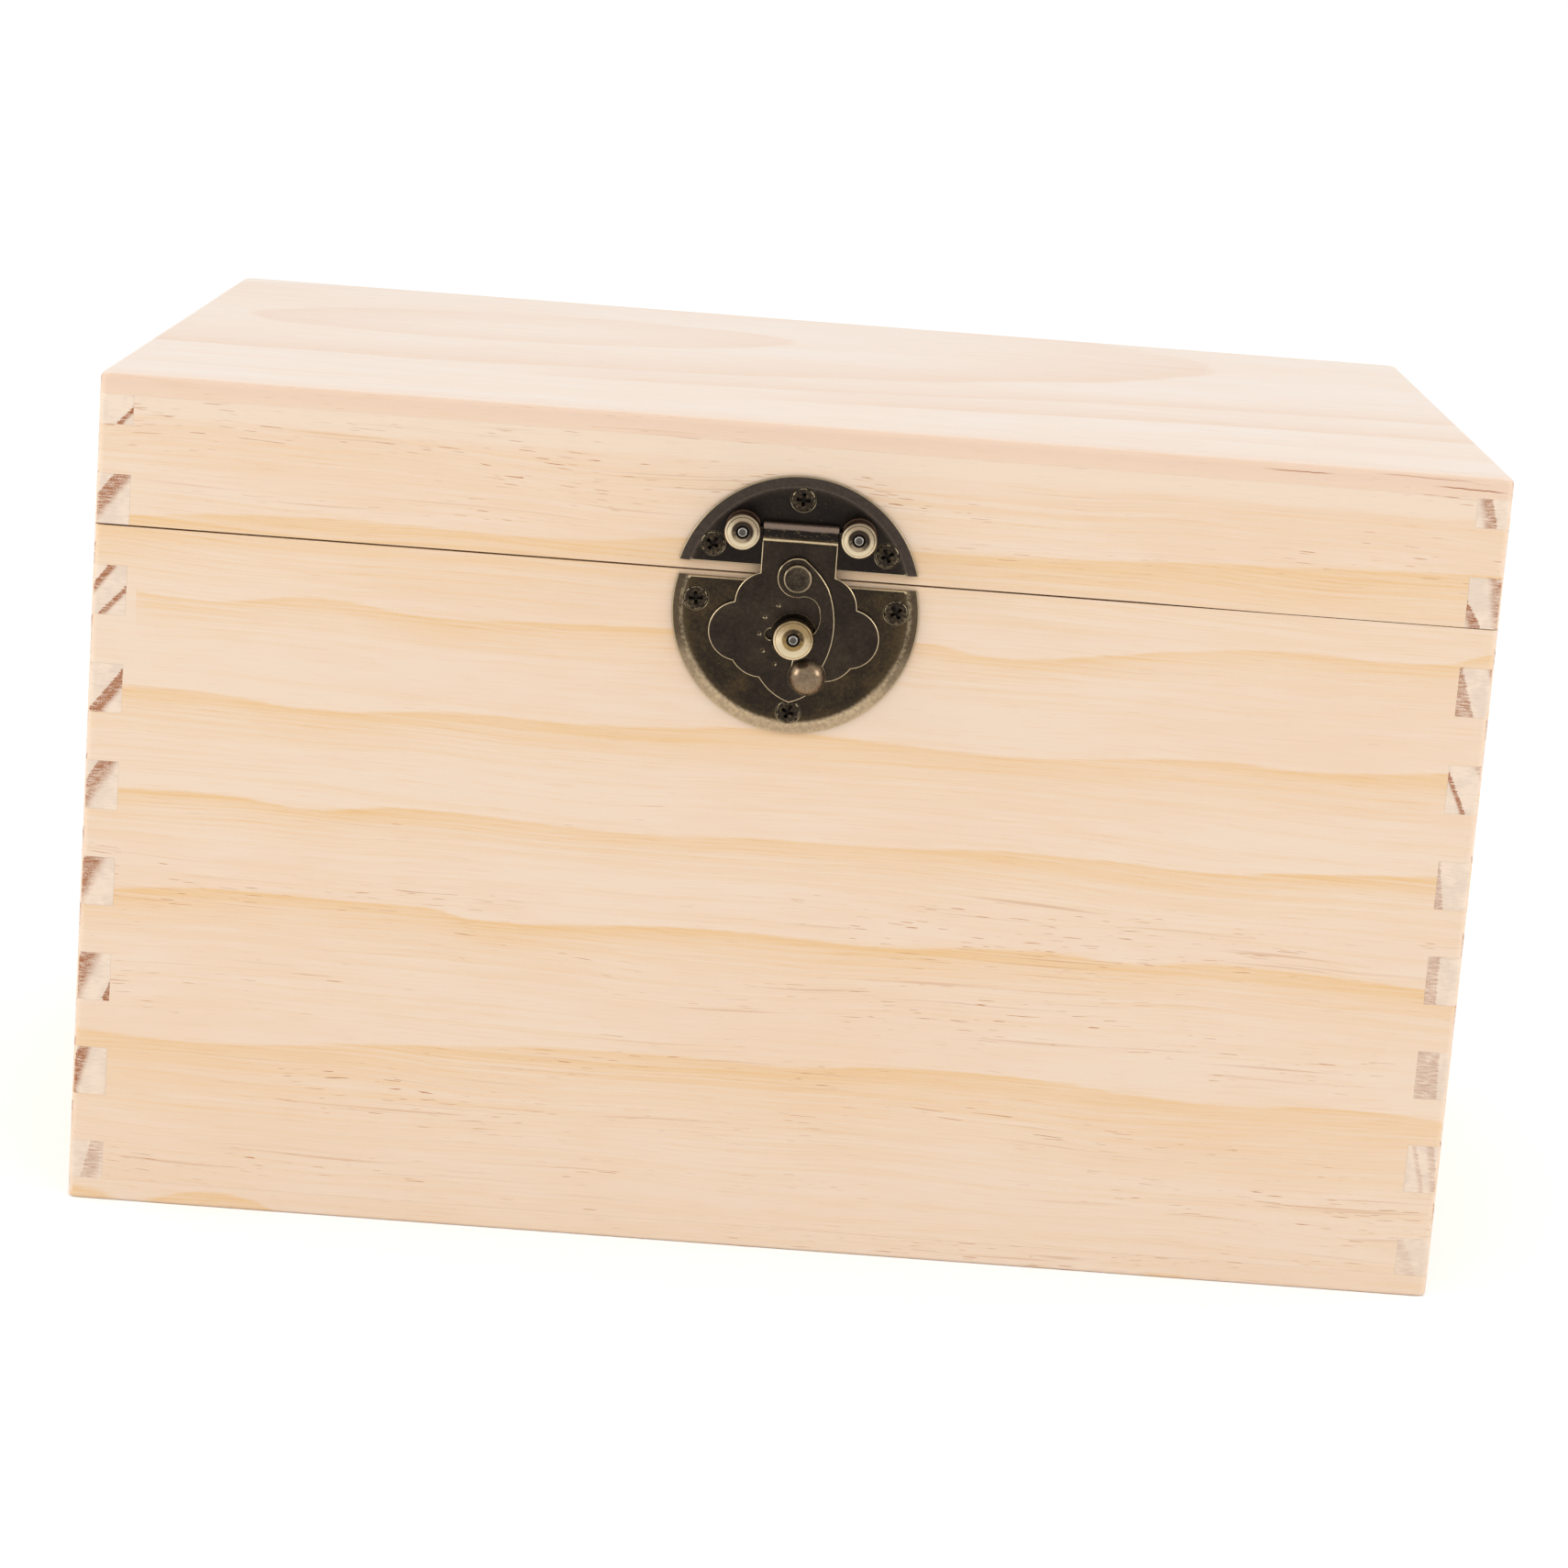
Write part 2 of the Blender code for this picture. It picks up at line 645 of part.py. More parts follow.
def hook_rivet_profile():
    """Half the outline of the hook's rivet: a low head, and a shank that ends flush behind the hasp."""
    head_foot = HOOK_FRONT + GAP
    return (
        (0, head_foot + HOOK_RIVET_HEAD),
        (HOOK_RIVET_R - HOOK_RIVET_HEAD / 2, head_foot + HOOK_RIVET_HEAD - HOOK_RIVET_DOME),
        (HOOK_RIVET_R, head_foot + HOOK_RIVET_HEAD / 2),
        (HOOK_RIVET_R, head_foot),
        (HOOK_RIVET_SHANK_R, head_foot),
        (HOOK_RIVET_SHANK_R, HASP_BACK),
        (0, HASP_BACK),
    )


def build_latch():
    """All the pieces of the latch, on an empty at the front of the case."""
    post_places = [(-POST_X, PIN_HEIGHT), (POST_X, PIN_HEIGHT)]
    keeper_place = (0, KEEPER_HEIGHT)
    upper_pilots, upper_places = latch_plate(
        "latch_upper_plate", UPPER_DISC_HEIGHT, True, UPPER_SCREW_ANGLES, post_places
    )
    lower_pilots, lower_places = latch_plate(
        "latch_lower_plate", LOWER_DISC_HEIGHT, False, LOWER_SCREW_ANGLES, [keeper_place]
    )
    add_boolean(lid_boards["front"], upper_pilots)
    add_boolean(body_boards["front"], lower_pilots)
    place_screws("latch_screw", count(1), upper_places + lower_places, latch_face, PLATE_FRONT)

    pin_seat_x = POST_X - RIVET_HOLE_R - POST_BORE_WALL
    pin_x = pin_seat_x - GAP
    seat = [((-pin_seat_x, 0, 0), (pin_seat_x, 0, 0), KNUCKLE_BORE_R)]
    seat_mesh = rods_mesh("pin_seats", seat, SMALL_SIDES)
    seats = add_cutter("pin_seats", seat_mesh, latch_face, (0, PIN_HEIGHT, PIN_LEVEL))
    post_outline = post_profile(
        POST_R, POST_WAIST_R, POST_R, HASP_BACK + POST_FOOT, POST_LEVEL - POST_CAP, POST_LEVEL
    )
    post = turned_mesh("latch_post", post_outline)
    rivet = turned_mesh("latch_post_rivet", rivet_profile(POST_LEVEL - RIVET_SUNK), SMALL_SIDES)
    for side, (x, y) in zip(("left", "right"), post_places):
        body = add_object("latch_post_" + side, post, brass, latch_face, (x, y, 0))
        add_boolean(body, seats)
        add_object("latch_post_rivet_" + side, rivet, brass, latch_face, (x, y, 0))
    pin = rods_mesh("hasp_pin", [((-pin_x, 0, 0), (pin_x, 0, 0), PIN_R)], SMALL_SIDES)
    add_object("hasp_pin", pin, brass, latch_face, (0, PIN_HEIGHT, PIN_LEVEL))

    keeper_foot = HASP_BACK + KEEPER_FOOT
    keeper_outline = post_profile(
        KEEPER_CAP_R, KEEPER_NECK_R, KEEPER_FOOT_R, keeper_foot, KEEPER_CAP_BACK, KEEPER_LEVEL
    )
    keeper = turned_mesh("keeper_post", keeper_outline)
    add_object("keeper_post", keeper, brass, latch_face, (*keeper_place, 0))
    keeper_rivet = turned_mesh("keeper_rivet", rivet_profile(KEEPER_LEVEL - RIVET_SUNK), SMALL_SIDES)
    add_object("keeper_rivet", keeper_rivet, brass, latch_face, (*keeper_place, 0))
    build_hasp()
    build_hook()
    rivet = turned_mesh("hook_rivet", hook_rivet_profile())
    add_object("hook_rivet", rivet, dark_bronze, latch_face, (0, HOOK_HEIGHT, 0))


def hinge_leaf(name, parent, side, knuckles):
    """A leaf on one side of the seam, with knuckles between the given places along the pin."""
    root = HINGE_KNUCKLE_R + GAP
    half = HINGE_WIDTH / 2

    def band(x_low, x_high, near, far):
        ys = sorted((side * near, side * far))
        return (x_low, ys[0], GAP), (x_high, ys[1], HINGE_FRONT)

    def rod(x_low, x_high, radius):
        return (x_low, 0, HINGE_PIN_LEVEL), (x_high, 0, HINGE_PIN_LEVEL), radius

    plate = boxes_mesh(name, [band(-half, half, root, HINGE_LEAF_HEIGHT)])
    leaf = add_object(name, plate, dark_bronze, parent)
    webs = [band(low, high, 0, root + HINGE_WEB_LAP) for low, high in knuckles]
    add_boolean(leaf, add_cutter(name + "_webs", boxes_mesh(name + "_webs", webs), parent), "UNION")
    rods = rods_mesh(name + "_knuckles", [rod(low, high, HINGE_KNUCKLE_R) for low, high in knuckles])
    add_boolean(leaf, add_cutter(name + "_knuckles", rods, parent), "UNION")
    far = half + OVERRUN
    bore = rods_mesh(name + "_bore", [rod(-far, far, HINGE_PIN_R + GAP)], SMALL_SIDES)
    add_boolean(leaf, add_cutter(name + "_bore", bore, parent))
    spread = HINGE_WIDTH * HINGE_SCREW_SHARE
    height = side * (HINGE_LEAF_HEIGHT - HINGE_SCREW_EDGE)
    places = [(-spread, height), (spread, height)]
    sinks, pilots = screw_holes(name, places, parent, HINGE_FRONT)
    add_boolean(leaf, sinks)
    add_boolean(leaf, pilots)
    return pilots, places


def build_hinge(name, x, screw_numbers):
    """A butt hinge, with the outer two of its three knuckles on the body's leaf."""
    frame = new_empty(name, (x, CASE_DEPTH / 2, SEAM_HEIGHT), Euler((pi / 2, 0, pi)))
    half, sixth = HINGE_WIDTH / 2, HINGE_WIDTH / 6
    outer = [(-half, -sixth - GAP / 2), (sixth + GAP / 2, half)]
    inner = [(-sixth + GAP / 2, sixth - GAP / 2)]
    body_pilots, body_places = hinge_leaf(name + "_body_leaf", frame, -1, outer)
    lid_pilots, lid_places = hinge_leaf(name + "_lid_leaf", frame, 1, inner)
    add_boolean(body_boards["back"], body_pilots)
    add_boolean(lid_boards["back"], lid_pilots)
    pin = rods_mesh(name + "_pin", [((-half, 0, 0), (half, 0, 0), HINGE_PIN_R)], SMALL_SIDES)
    add_object(name + "_pin", pin, dark_bronze, frame, (0, 0, HINGE_PIN_LEVEL))
    place_screws("hinge_screw", screw_numbers, body_places + lid_places, frame, HINGE_FRONT)


for leftover in list(bpy.data.objects):
    bpy.data.objects.remove(leftover)

parts = new_collection("wooden_tea_box")
cutters = new_collection("cutters")

pine = new_material("pine", (0.86, 0.68, 0.49), 0.6, 0)
dark_bronze = new_material("dark_bronze", (0.09, 0.07, 0.045), 0.4, 0.9)
brass = new_material("aged_brass", (0.42, 0.34, 0.19), 0.35, 0.9)

case_mesh = rounded_box_mesh(
    "case_envelope", *case_corners(0, CASE_HEIGHT), is_upright, CORNER_ROUND, CASE_ROUND_STEPS
)
case_envelope = add_cutter("case_envelope", case_mesh)
body_boards = frame_boards("body", FRAME_BASE, BODY_HEIGHT, 0)
lid_boards = frame_boards("lid", LID_BASE, LID_FRAME_TOP, SAW_SHIFT)

bottom_panel = add_object(
    "bottom_panel",
    rounded_box_mesh("bottom_panel", *case_corners(0, BOTTOM_PANEL), edge_at(0), BASE_EASE, BASE_EASE_STEPS),
    pine,
)
add_boolean(bottom_panel, case_envelope, "INTERSECT")
lid_panel = add_object(
    "lid_panel",
    rounded_box_mesh(
        "lid_panel",
        *case_corners(CASE_HEIGHT - TOP_PANEL, CASE_HEIGHT),
        edge_at(CASE_HEIGHT),
        TOP_ROUND,
        TOP_ROUND_STEPS,
    ),
    pine,
)
add_boolean(lid_panel, case_envelope, "INTERSECT")

latch_face = new_empty("latch_face", (0, -CASE_DEPTH / 2, 0), Euler((pi / 2, 0, 0)))
screw_blank = screw_mesh()
build_latch()

hinge_screw_numbers = count(1)
for hinge_side, direction in (("left", -1), ("right", 1)):
    hinge_x = direction * HINGE_SPREAD_SHARE * CASE_WIDTH
    build_hinge(f"hinge_{hinge_side}", hinge_x, hinge_screw_numbers)

bpy.context.view_layer.update()
for part_object in parts.objects:
    if part_object.modifiers:
        settle(part_object)
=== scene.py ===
"""The looks of a wooden tea box: finger-jointed pine, a round bronze latch and two butt hinges.

Lengths are in metres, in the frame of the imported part, unless a comment says millimetres.
Fittings are made in a frame of their own: x to the right, y up, and z out of the wood that they are on.
"""

from math import asin, atan2, ceil, cos, pi, radians, sin

import bmesh
import bpy
from mathutils import Matrix, Vector


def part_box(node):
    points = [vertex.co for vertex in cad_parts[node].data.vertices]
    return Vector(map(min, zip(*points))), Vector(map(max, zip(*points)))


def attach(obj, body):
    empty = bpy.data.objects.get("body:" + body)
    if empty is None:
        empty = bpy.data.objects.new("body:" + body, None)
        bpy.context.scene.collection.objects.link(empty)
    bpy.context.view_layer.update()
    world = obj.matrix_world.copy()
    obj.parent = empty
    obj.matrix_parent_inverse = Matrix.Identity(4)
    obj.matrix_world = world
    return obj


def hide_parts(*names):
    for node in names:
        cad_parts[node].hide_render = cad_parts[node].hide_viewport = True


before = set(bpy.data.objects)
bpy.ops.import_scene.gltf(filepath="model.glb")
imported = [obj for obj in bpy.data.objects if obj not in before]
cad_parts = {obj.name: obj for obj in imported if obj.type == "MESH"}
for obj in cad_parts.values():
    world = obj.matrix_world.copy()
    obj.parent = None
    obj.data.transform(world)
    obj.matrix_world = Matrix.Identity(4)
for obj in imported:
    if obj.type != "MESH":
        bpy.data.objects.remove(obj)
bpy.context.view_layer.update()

MM = 0.001

# Wood, whose joints close up far tighter than the solids'
GLUE = 0.02 * MM
CORNER_ROUND = 1.7 * MM
TOP_ROUND = 1.5 * MM
BASE_EASE = 0.7 * MM
FINGER = 10 * MM
FIRST_FINGER = 7.9 * MM
LID_FIRST_FINGER = 10 * MM
JOINT_EASE = 0.01 * MM

# How far the lid's edge at the seam comes down, on the left and on the right, and where that changes
SEAM_DROP = (0.04 * MM, 0.23 * MM)
SEAM_NARROWS = (68 * MM, 94 * MM)

# Corners of the panels, and how the rings run at the ends of a flat-sawn one
CORNER_GROWTH = 0.7
FLAT_SAWN = 1.47

# Latch plates
RIM = 2.8 * MM
RIM_BEVEL = 2 * MM
RIM_CREST = 0.12 * MM
RIM_LIP = 0.5 * MM
LIP_ROUND = 0.2 * MM
RIM_EASE = 0.3 * MM
CREST_SHARES = (0.3, 0.6, 0.85, 1)
CHORD_EASE = 0.3 * MM
PLATE_SIDES = 96
EDGE = 0.28 * MM
SINK = 0.3 * MM
CUT_OVER = 1 * MM

# Hasp
HASP_SHEET = 0.8 * MM
KNUCKLE_R = 1.7 * MM
NECK_WIDTH = 15 * MM
NECK_SHOULDER_DROP = 8.8 * MM
CLOUD_HALF_WIDTH = 17.1 * MM
CLOUD_CORNER_SHARES = (
    ((0.713, 0.357), 0.075),
    ((0.69, -0.345), 0.295),
    ((0.37, -0.525), 0.045),
    ((0, -0.8), 0.04),
)
KEEPER_PASS = 0.45 * MM
NOTCH_R = 1.1 * MM
DOT_RING_R = 6.85 * MM
DOT_FOOT_R = 0.12 * MM
DOT_OVER_R = 0.8 * MM
DOT_DEPTH = 0.3 * MM
DOT_SIDES = 20
BARREL_EASE = 0.2 * MM
FOLD_R = 0.5 * MM
FOLD_SINK = 0.35
FOLD_INSET = 0.1 * MM
DOT_ANGLES = tuple(radians(angle) for angle in (120, 150, 180, 210, 240))

# Hook
HOOK_SHEET = 1 * MM
HOOK_EDGE = 0.3 * MM
HOOK_HEAD_R = 4.05 * MM
KEEPER_NECK_R = 2.2 * MM
HOOK_NECK_PLAY = 0.55 * MM
BALL_R = 3.85 * MM
BALL_RISE = 3.9 * MM
BALL_GAP = 0.6 * MM
BALL_TURN = radians(22)
HEAD_FOOT_TURN = -radians(71)
HEAD_TOP_TURN = radians(72)
HEAD_SWELL = 0.4 * MM
ARM_SHOULDER_OUT = 6.3 * MM
ARM_SHOULDER_DROP = 1.7 * MM
ARM_SWELL = 1.7 * MM
ARM_END_TURN = radians(37)
BALL_BACK_TURN = -radians(215)
CROOK_OUT = 4.7 * MM
CROOK_DROP = 6.6 * MM
CROOK_SWELL = 0.95 * MM
HUG_START = -radians(80)
HUG_END = -radians(5)
HOOK_RIVET_HEAD = 1 * MM
HOOK_RIVET_HOLLOW = 0.06 * MM
HOOK_RIVET_CREST = 0.72
HOOK_RIVET_DROP = 0.1 * MM
HOOK_RIVET_EDGE = 0.5 * MM

# Turned posts, whose dish is given by (how far in from the cap's edge, share of its depth), and their rivets
POST_NECK_R = 3.1 * MM
POST_FOOT = 1 * MM
POST_CAP = 1.8 * MM
KEEPER_FOOT_R = 3.4 * MM
KEEPER_FOOT = 0.7 * MM
KEEPER_CAP = 3 * MM
POST_DISH = 0.6 * MM
DISH_FLAT = 0.3 * MM
DISH_STEPS = ((1.6 * MM, 0.8), (0.9 * MM, 0.35))
CAP_CREST = 0.45 * MM
CAP_DROP = 0.35 * MM
POST_EDGE = 0.35 * MM
RIVET_CREST = 0.7
RIVET_HOLLOW = 0.12 * MM
RIVET_HOLLOW_SHARE = 0.45
RIVET_HOLLOW_RISE = 0.8
RIVET_SIDES = 32

# Screws
LATCH_SCREWS = [f"latch_screw_{number}" for number in range(1, 7)]
SCREW_LENGTH = 6 * MM
SCREW_DOME = 0.18 * MM
DOME_SHARE = 0.97
SCREW_RIM_DROP = 0.06 * MM
SCREW_SIDES = 40
SCREW_TURN = 0.4
SCREW_TURN_STEP = 1.1
SCREW_HEAD_DEPTH = 1.1 * MM
SCREW_SHANK_R = 1.1 * MM
RECESS_LENGTH = 2.9 * MM
RECESS_WIDTH = 0.75 * MM
RECESS_DEPTH = 0.8 * MM
RECESS_FOOT = 0.45
RECESS_MOUTH = 1.1

SQUARE = ((1, 1), (-1, 1), (-1, -1), (1, -1))
ARC_STEP = radians(5)
SIDES = 64
ROD_SIDES = 48
SMOOTH_ANGLE = radians(32)

# Stage
FLOOR_HALF = 30
FLOOR_COLOUR = (0.93, 0.93, 0.93, 1)
DOME_HEIGHTS = (0.1, 0.8)
DOME_STRENGTHS = (0.95, 1.15)
SOFTBOX_PLACES = {"left_softbox": (-1.25, -0.45, 0.6), "right_softbox": (1.25, -0.45, 0.7)}
SOFTBOX_SIZE = (0.45, 0.6)
SOFTBOX_POWER = 6
SOFTBOX_AIM = Vector((0, 0, 0.1))

# Camera, fitted to the photograph's frame of 1710 by 1710 pixels
PHOTO_SIDE = 1710
FOCAL_PIXELS = 4083.78
PHOTO_MIDDLE = (941.58, 617.82)
CAMERA_PLACE = (0.0041, -0.81668, 0.27944)
CAMERA_YAW = radians(0.68056)
CAMERA_PITCH = radians(10.52666)
CAMERA_ROLL = radians(-4.47873)
SENSOR = 36

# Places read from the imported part
panel_low, panel_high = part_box("bottom_panel")
HALF_WIDTH, HALF_DEPTH = panel_high.x, panel_high.y
BASE_TOP = panel_high.z
BODY_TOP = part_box("body_front_board")[1].z
LID_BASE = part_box("lid_front_board")[0].z
LID_FRAME_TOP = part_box("lid_panel")[0].z
CASE_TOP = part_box("lid_panel")[1].z
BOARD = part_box("body_front_board")[1].y + HALF_DEPTH
latch_matrix = Matrix.Translation((0, -HALF_DEPTH, 0)) @ Matrix.Rotation(pi / 2, 4, "X")


def spot(node):
    """The middle of a fitting on the front, in the latch's frame."""
    low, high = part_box(node)
    return Vector(((low.x + high.x) / 2, (low.z + high.z) / 2))


def levels(node):
    """How far a fitting on the front stands off the wood, at its back and at its front."""
    low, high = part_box(node)
    return -HALF_DEPTH - high.y, -HALF_DEPTH - low.y


def radius(node):
    """Half the width of a fitting."""
    low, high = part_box(node)
    return (high.x - low.x) / 2


# Materials
#
# The bare numbers in the materials' graphs are noise scales per millimetre, the ends of steps, in millimetres
# where they compare places, and strengths. They were set against the photograph.


def srgb(red, green, blue):
    """A colour as a screen shows it, from 0 to 255, in the linear values that shaders use."""
    shares = (red / 255, green / 255, blue / 255)
    return tuple(s / 12.92 if s <= 0.04045 else ((s + 0.055) / 1.055) ** 2.4 for s in shares) + (1,)


def arithmetic(operation, swapped=False):
    """A method of Value that adds one node of arithmetic to the graph."""

    def work(self, other):
        return self.graph.math(operation, *((other, self) if swapped else (self, other)))

    return work


class Value:
    """A number or colour in a material's graph. Arithmetic with it adds the nodes that work it out."""

    def __init__(self, graph, socket):
        self.graph = graph
        self.socket = socket

    def __abs__(self):
        return self.graph.math("ABSOLUTE", self)

    __add__, __radd__ = arithmetic("ADD"), arithmetic("ADD", True)
    __sub__, __rsub__ = arithmetic("SUBTRACT"), arithmetic("SUBTRACT", True)
    __mul__, __rmul__ = arithmetic("MULTIPLY"), arithmetic("MULTIPLY", True)
    __truediv__ = arithmetic("DIVIDE")

    def step(self, start, end):
        """A smooth step from 0 at start to 1 at end."""
        node = self.graph.tree.nodes.new("ShaderNodeMapRange")
        node.interpolation_type = "SMOOTHSTEP"
        self.graph.put(node.inputs["Value"], self)
        node.inputs["From Min"].default_value = start
        node.inputs["From Max"].default_value = end
        return Value(self.graph, node.outputs[0])

    def fade(self, length):
        """1 where this is zero or less, falling off over about that length."""
        return self.graph.math("EXPONENT", self.graph.math("MAXIMUM", self, 0) * (-1 / length))

    def mix(self, first, second):
        """A colour that goes from first to second as this goes from 0 to 1."""
        node = self.graph.tree.nodes.new("ShaderNodeMix")
        node.data_type = "RGBA"
        node.clamp_factor = True
        for socket, value in ((node.inputs[0], self), (node.inputs[6], first), (node.inputs[7], second)):
            self.graph.put(socket, value)
        return Value(self.graph, node.outputs[2])


class Graph:
    """The node graph of one material, around its Principled shader."""

    def __init__(self, name):
        self.material = bpy.data.materials.new(name)
        self.material.use_nodes = True
        self.tree = self.material.node_tree
        self.shader = self.tree.nodes["Principled BSDF"]
        self.coordinates = self.tree.nodes.new("ShaderNodeTexCoord")

    def put(self, socket, value):
        """Links a value to a socket, or sets the socket to a plain number or colour."""
        if isinstance(value, Value):
            self.tree.links.new(value.socket, socket)
        else:
            socket.default_value = value

    def set(self, name, value):
        """Gives the shader one of its inputs."""
        self.put(self.shader.inputs[name], value)

    def math(self, operation, *values, clamp=False):
        """What a Math node makes of the values."""
        node = self.tree.nodes.new("ShaderNodeMath")
        node.operation = operation
        node.use_clamp = clamp
        for socket, value in zip(node.inputs, values):
            self.put(socket, value)
        return Value(self, node.outputs[0])

    def split(self, output):
        """The three numbers of a vector."""
        node = self.tree.nodes.new("ShaderNodeSeparateXYZ")
        self.tree.links.new(output, node.inputs[0])
        return [Value(self, socket) for socket in node.outputs]

    def place(self):
        """The place on the piece in its own frame, in millimetres."""
        return [part * (1 / MM) for part in self.split(self.coordinates.outputs["Object"])]

    def facing(self):
        """The way the surface faces, in the piece's own frame."""
        return self.split(self.coordinates.outputs["Normal"])

    def noise(self, x, y, z, detail=2, roughness=0.5):
        """Smooth noise from 0 to 1 about a half, its features one unit of the given numbers across."""
        join = self.tree.nodes.new("ShaderNodeCombineXYZ")
        for socket, value in zip(join.inputs, (x, y, z)):
            self.put(socket, value)
        node = self.tree.nodes.new("ShaderNodeTexNoise")
        self.tree.links.new(join.outputs[0], node.inputs["Vector"])
        node.inputs["Scale"].default_value = 1
        node.inputs["Detail"].default_value = detail
        node.inputs["Roughness"].default_value = roughness
        return Value(self, node.outputs["Fac"])

    def fibres(self, run, length, width, seed, detail=2, roughness=0.5):
        """Noise drawn out along the grain. The run is the place along, across and through the board."""
        along, across, depth = run
        return self.noise(along * length, across * width, depth * width + seed, detail, roughness)

    def speckle(self, place, scale, seed=0.0, detail=2, roughness=0.5):
        """Noise that is the same in all directions."""
        x, y, z = (part * scale for part in place)
        return self.noise(x, y, z + seed if seed else z, detail, roughness)

    def length(self, x, y):
        """How far a place is from the middle of its plane."""
        return self.math("SQRT", x * x + y * y)

    def largest(self, *values):
        result = values[0]
        for value in values[1:]:
            result = self.math("MAXIMUM", result, value)
        return result

    def line(self, value, points, half_span, half_rise, straight=False):
        """A line through points, as a height over a value that runs from -half_span to half_span."""
        node = self.tree.nodes.new("ShaderNodeFloatCurve")
        curve = node.mapping.curves[0]
        places = [((x + half_span) / (2 * half_span), (y + half_rise) / (2 * half_rise)) for x, y in points]
        curve.points[0].location = places[0]
        curve.points[1].location = places[-1]
        for place in places[1:-1]:
            curve.points.new(*place)
        if straight:
            for point in curve.points:
                point.handle_type = "VECTOR"
        node.mapping.update()
        share = (value + half_span) * (1 / (2 * half_span))
        self.put(node.inputs["Value"], share)
        return Value(self, node.outputs[0]) * (2 * half_rise) - half_rise

    def bump(self, height, distance, strength=1.0):
        """Raises the surface by the height, from 0 to 1, times the distance."""
        node = self.tree.nodes.new("ShaderNodeBump")
        node.inputs["Strength"].default_value = strength
        node.inputs["Distance"].default_value = distance
        self.put(node.inputs["Height"], height)
        self.tree.links.new(node.outputs[0], self.shader.inputs["Normal"])

    def finish(self, colour, metallic, roughness, height=None, distance=0.0, strength=1.0):
        """The material, with its shader's main inputs set."""
        for name, value in (("Base Color", colour), ("Metallic", metallic), ("Roughness", roughness)):
            self.set(name, value)
        if height:
            self.bump(height, distance, strength)
        return self.material


# How much brighter a surface shows than its own colour, under the scene's light
LIGHT_GAIN = 1.3


def seen(red, green, blue):
    """The surface colour that shows on screen as the given one."""
    return tuple(part / LIGHT_GAIN for part in srgb(red, green, blue)[:3]) + (1,)


EARLY = seen(242, 214, 187)
EARLY_PALE = seen(243, 219, 195)
LATE = seen(239, 197, 143)
FIBRE = seen(228, 176, 122)
RESIN = seen(190, 126, 72)
# Painted light: paler copies of the wood's colours for where the lid's top faces up, as if lit from above
LIT_TOP_EARLY = seen(245, 227, 211)
LIT_TOP_PALE = seen(246, 232, 219)
LIT_TOP_LATE = seen(241, 213, 190)
PANEL_EDGE = seen(239, 209, 184)
PANEL_EDGE_LATE = seen(238, 203, 170)
END_PALE = seen(245, 223, 201)
END_GREY = seen(234, 213, 193)
END_DARK = seen(168, 104, 62)

# Dark growth rings on the end grain that the corners show, in millimetres: for each finger the heights of its
# bottom and top, where across the case the ring's sharp edge is at each, its width and its strength
LEFT_RINGS = (
    ((4.3, 12.8), (-137.5, -135.5), 4, 0.35), ((22.9, 33), (-141.4, -138.7), 3, 0.95),
    ((43, 53), (-143, -138.8), 4.8, 0.8), ((62.7, 73), (-143.6, -138.8), 5, 0.8),
    ((82.7, 92.8), (-143, -136.9), 4.6, 0.75), ((102.9, 112.8), (-139.6, -132.1), 3.6, 1),
    ((122.7, 132.5), (-144, -136.7), 2.2, 1), ((141, 150.8), (-143.7, -136.4), 4.6, 0.85),
    ((161, 167), (-136.3, -130.6), 1.6, 1),
)
LEFT_RINGS_TWO = (
    ((4.3, 33), (-130, -130), 1, 0), ((43, 46.8), (-134.5, -132.8), 2, 1), ((48, 93), (-130, -130), 1, 0),
    ((102.9, 112.8), (-147.9, -140.3), 1.8, 0.8), ((122.7, 132.5), (-138.4, -129.3), 1.9, 1),
    ((141, 167), (-130, -130), 1, 0),
)
RIGHT_RINGS = (
    ((4, 12.7), (137.5, 134), 5, 0.15), ((22.8, 32.8), (137.2, 134.5), 1.2, 0.3),
    ((42.5, 52.3), (137.7, 137.3), 7, 0.35), ((62.7, 72), (135.4, 135.3), 7, 0.4),
    ((82.5, 92), (134.8, 133.3), 7, 0.45), ((102.5, 112.3), (137.25, 132.5), 1.3, 1),
    ((122.2, 132), (136.8, 133.6), 7, 0.65), ((141.2, 150.7), (136.1, 130), 3, 0.85),
    ((161, 167), (137.4, 135.8), 3, 0.6),
)
RIGHT_RINGS_TWO = (
    ((4, 12.7), (131, 131), 1, 0), ((22.8, 32.8), (140, 138.2), 2, 0.3), ((42.5, 92), (131, 131), 1, 0),
    ((102.5, 112.3), (145, 140), 2.4, 0.5), ((122.2, 132), (144.5, 140.9), 2.6, 0.8),
    ((141.2, 150.7), (141.2, 139.6), 3.2, 0.65), ((161, 167), (131, 131), 1, 0),
)

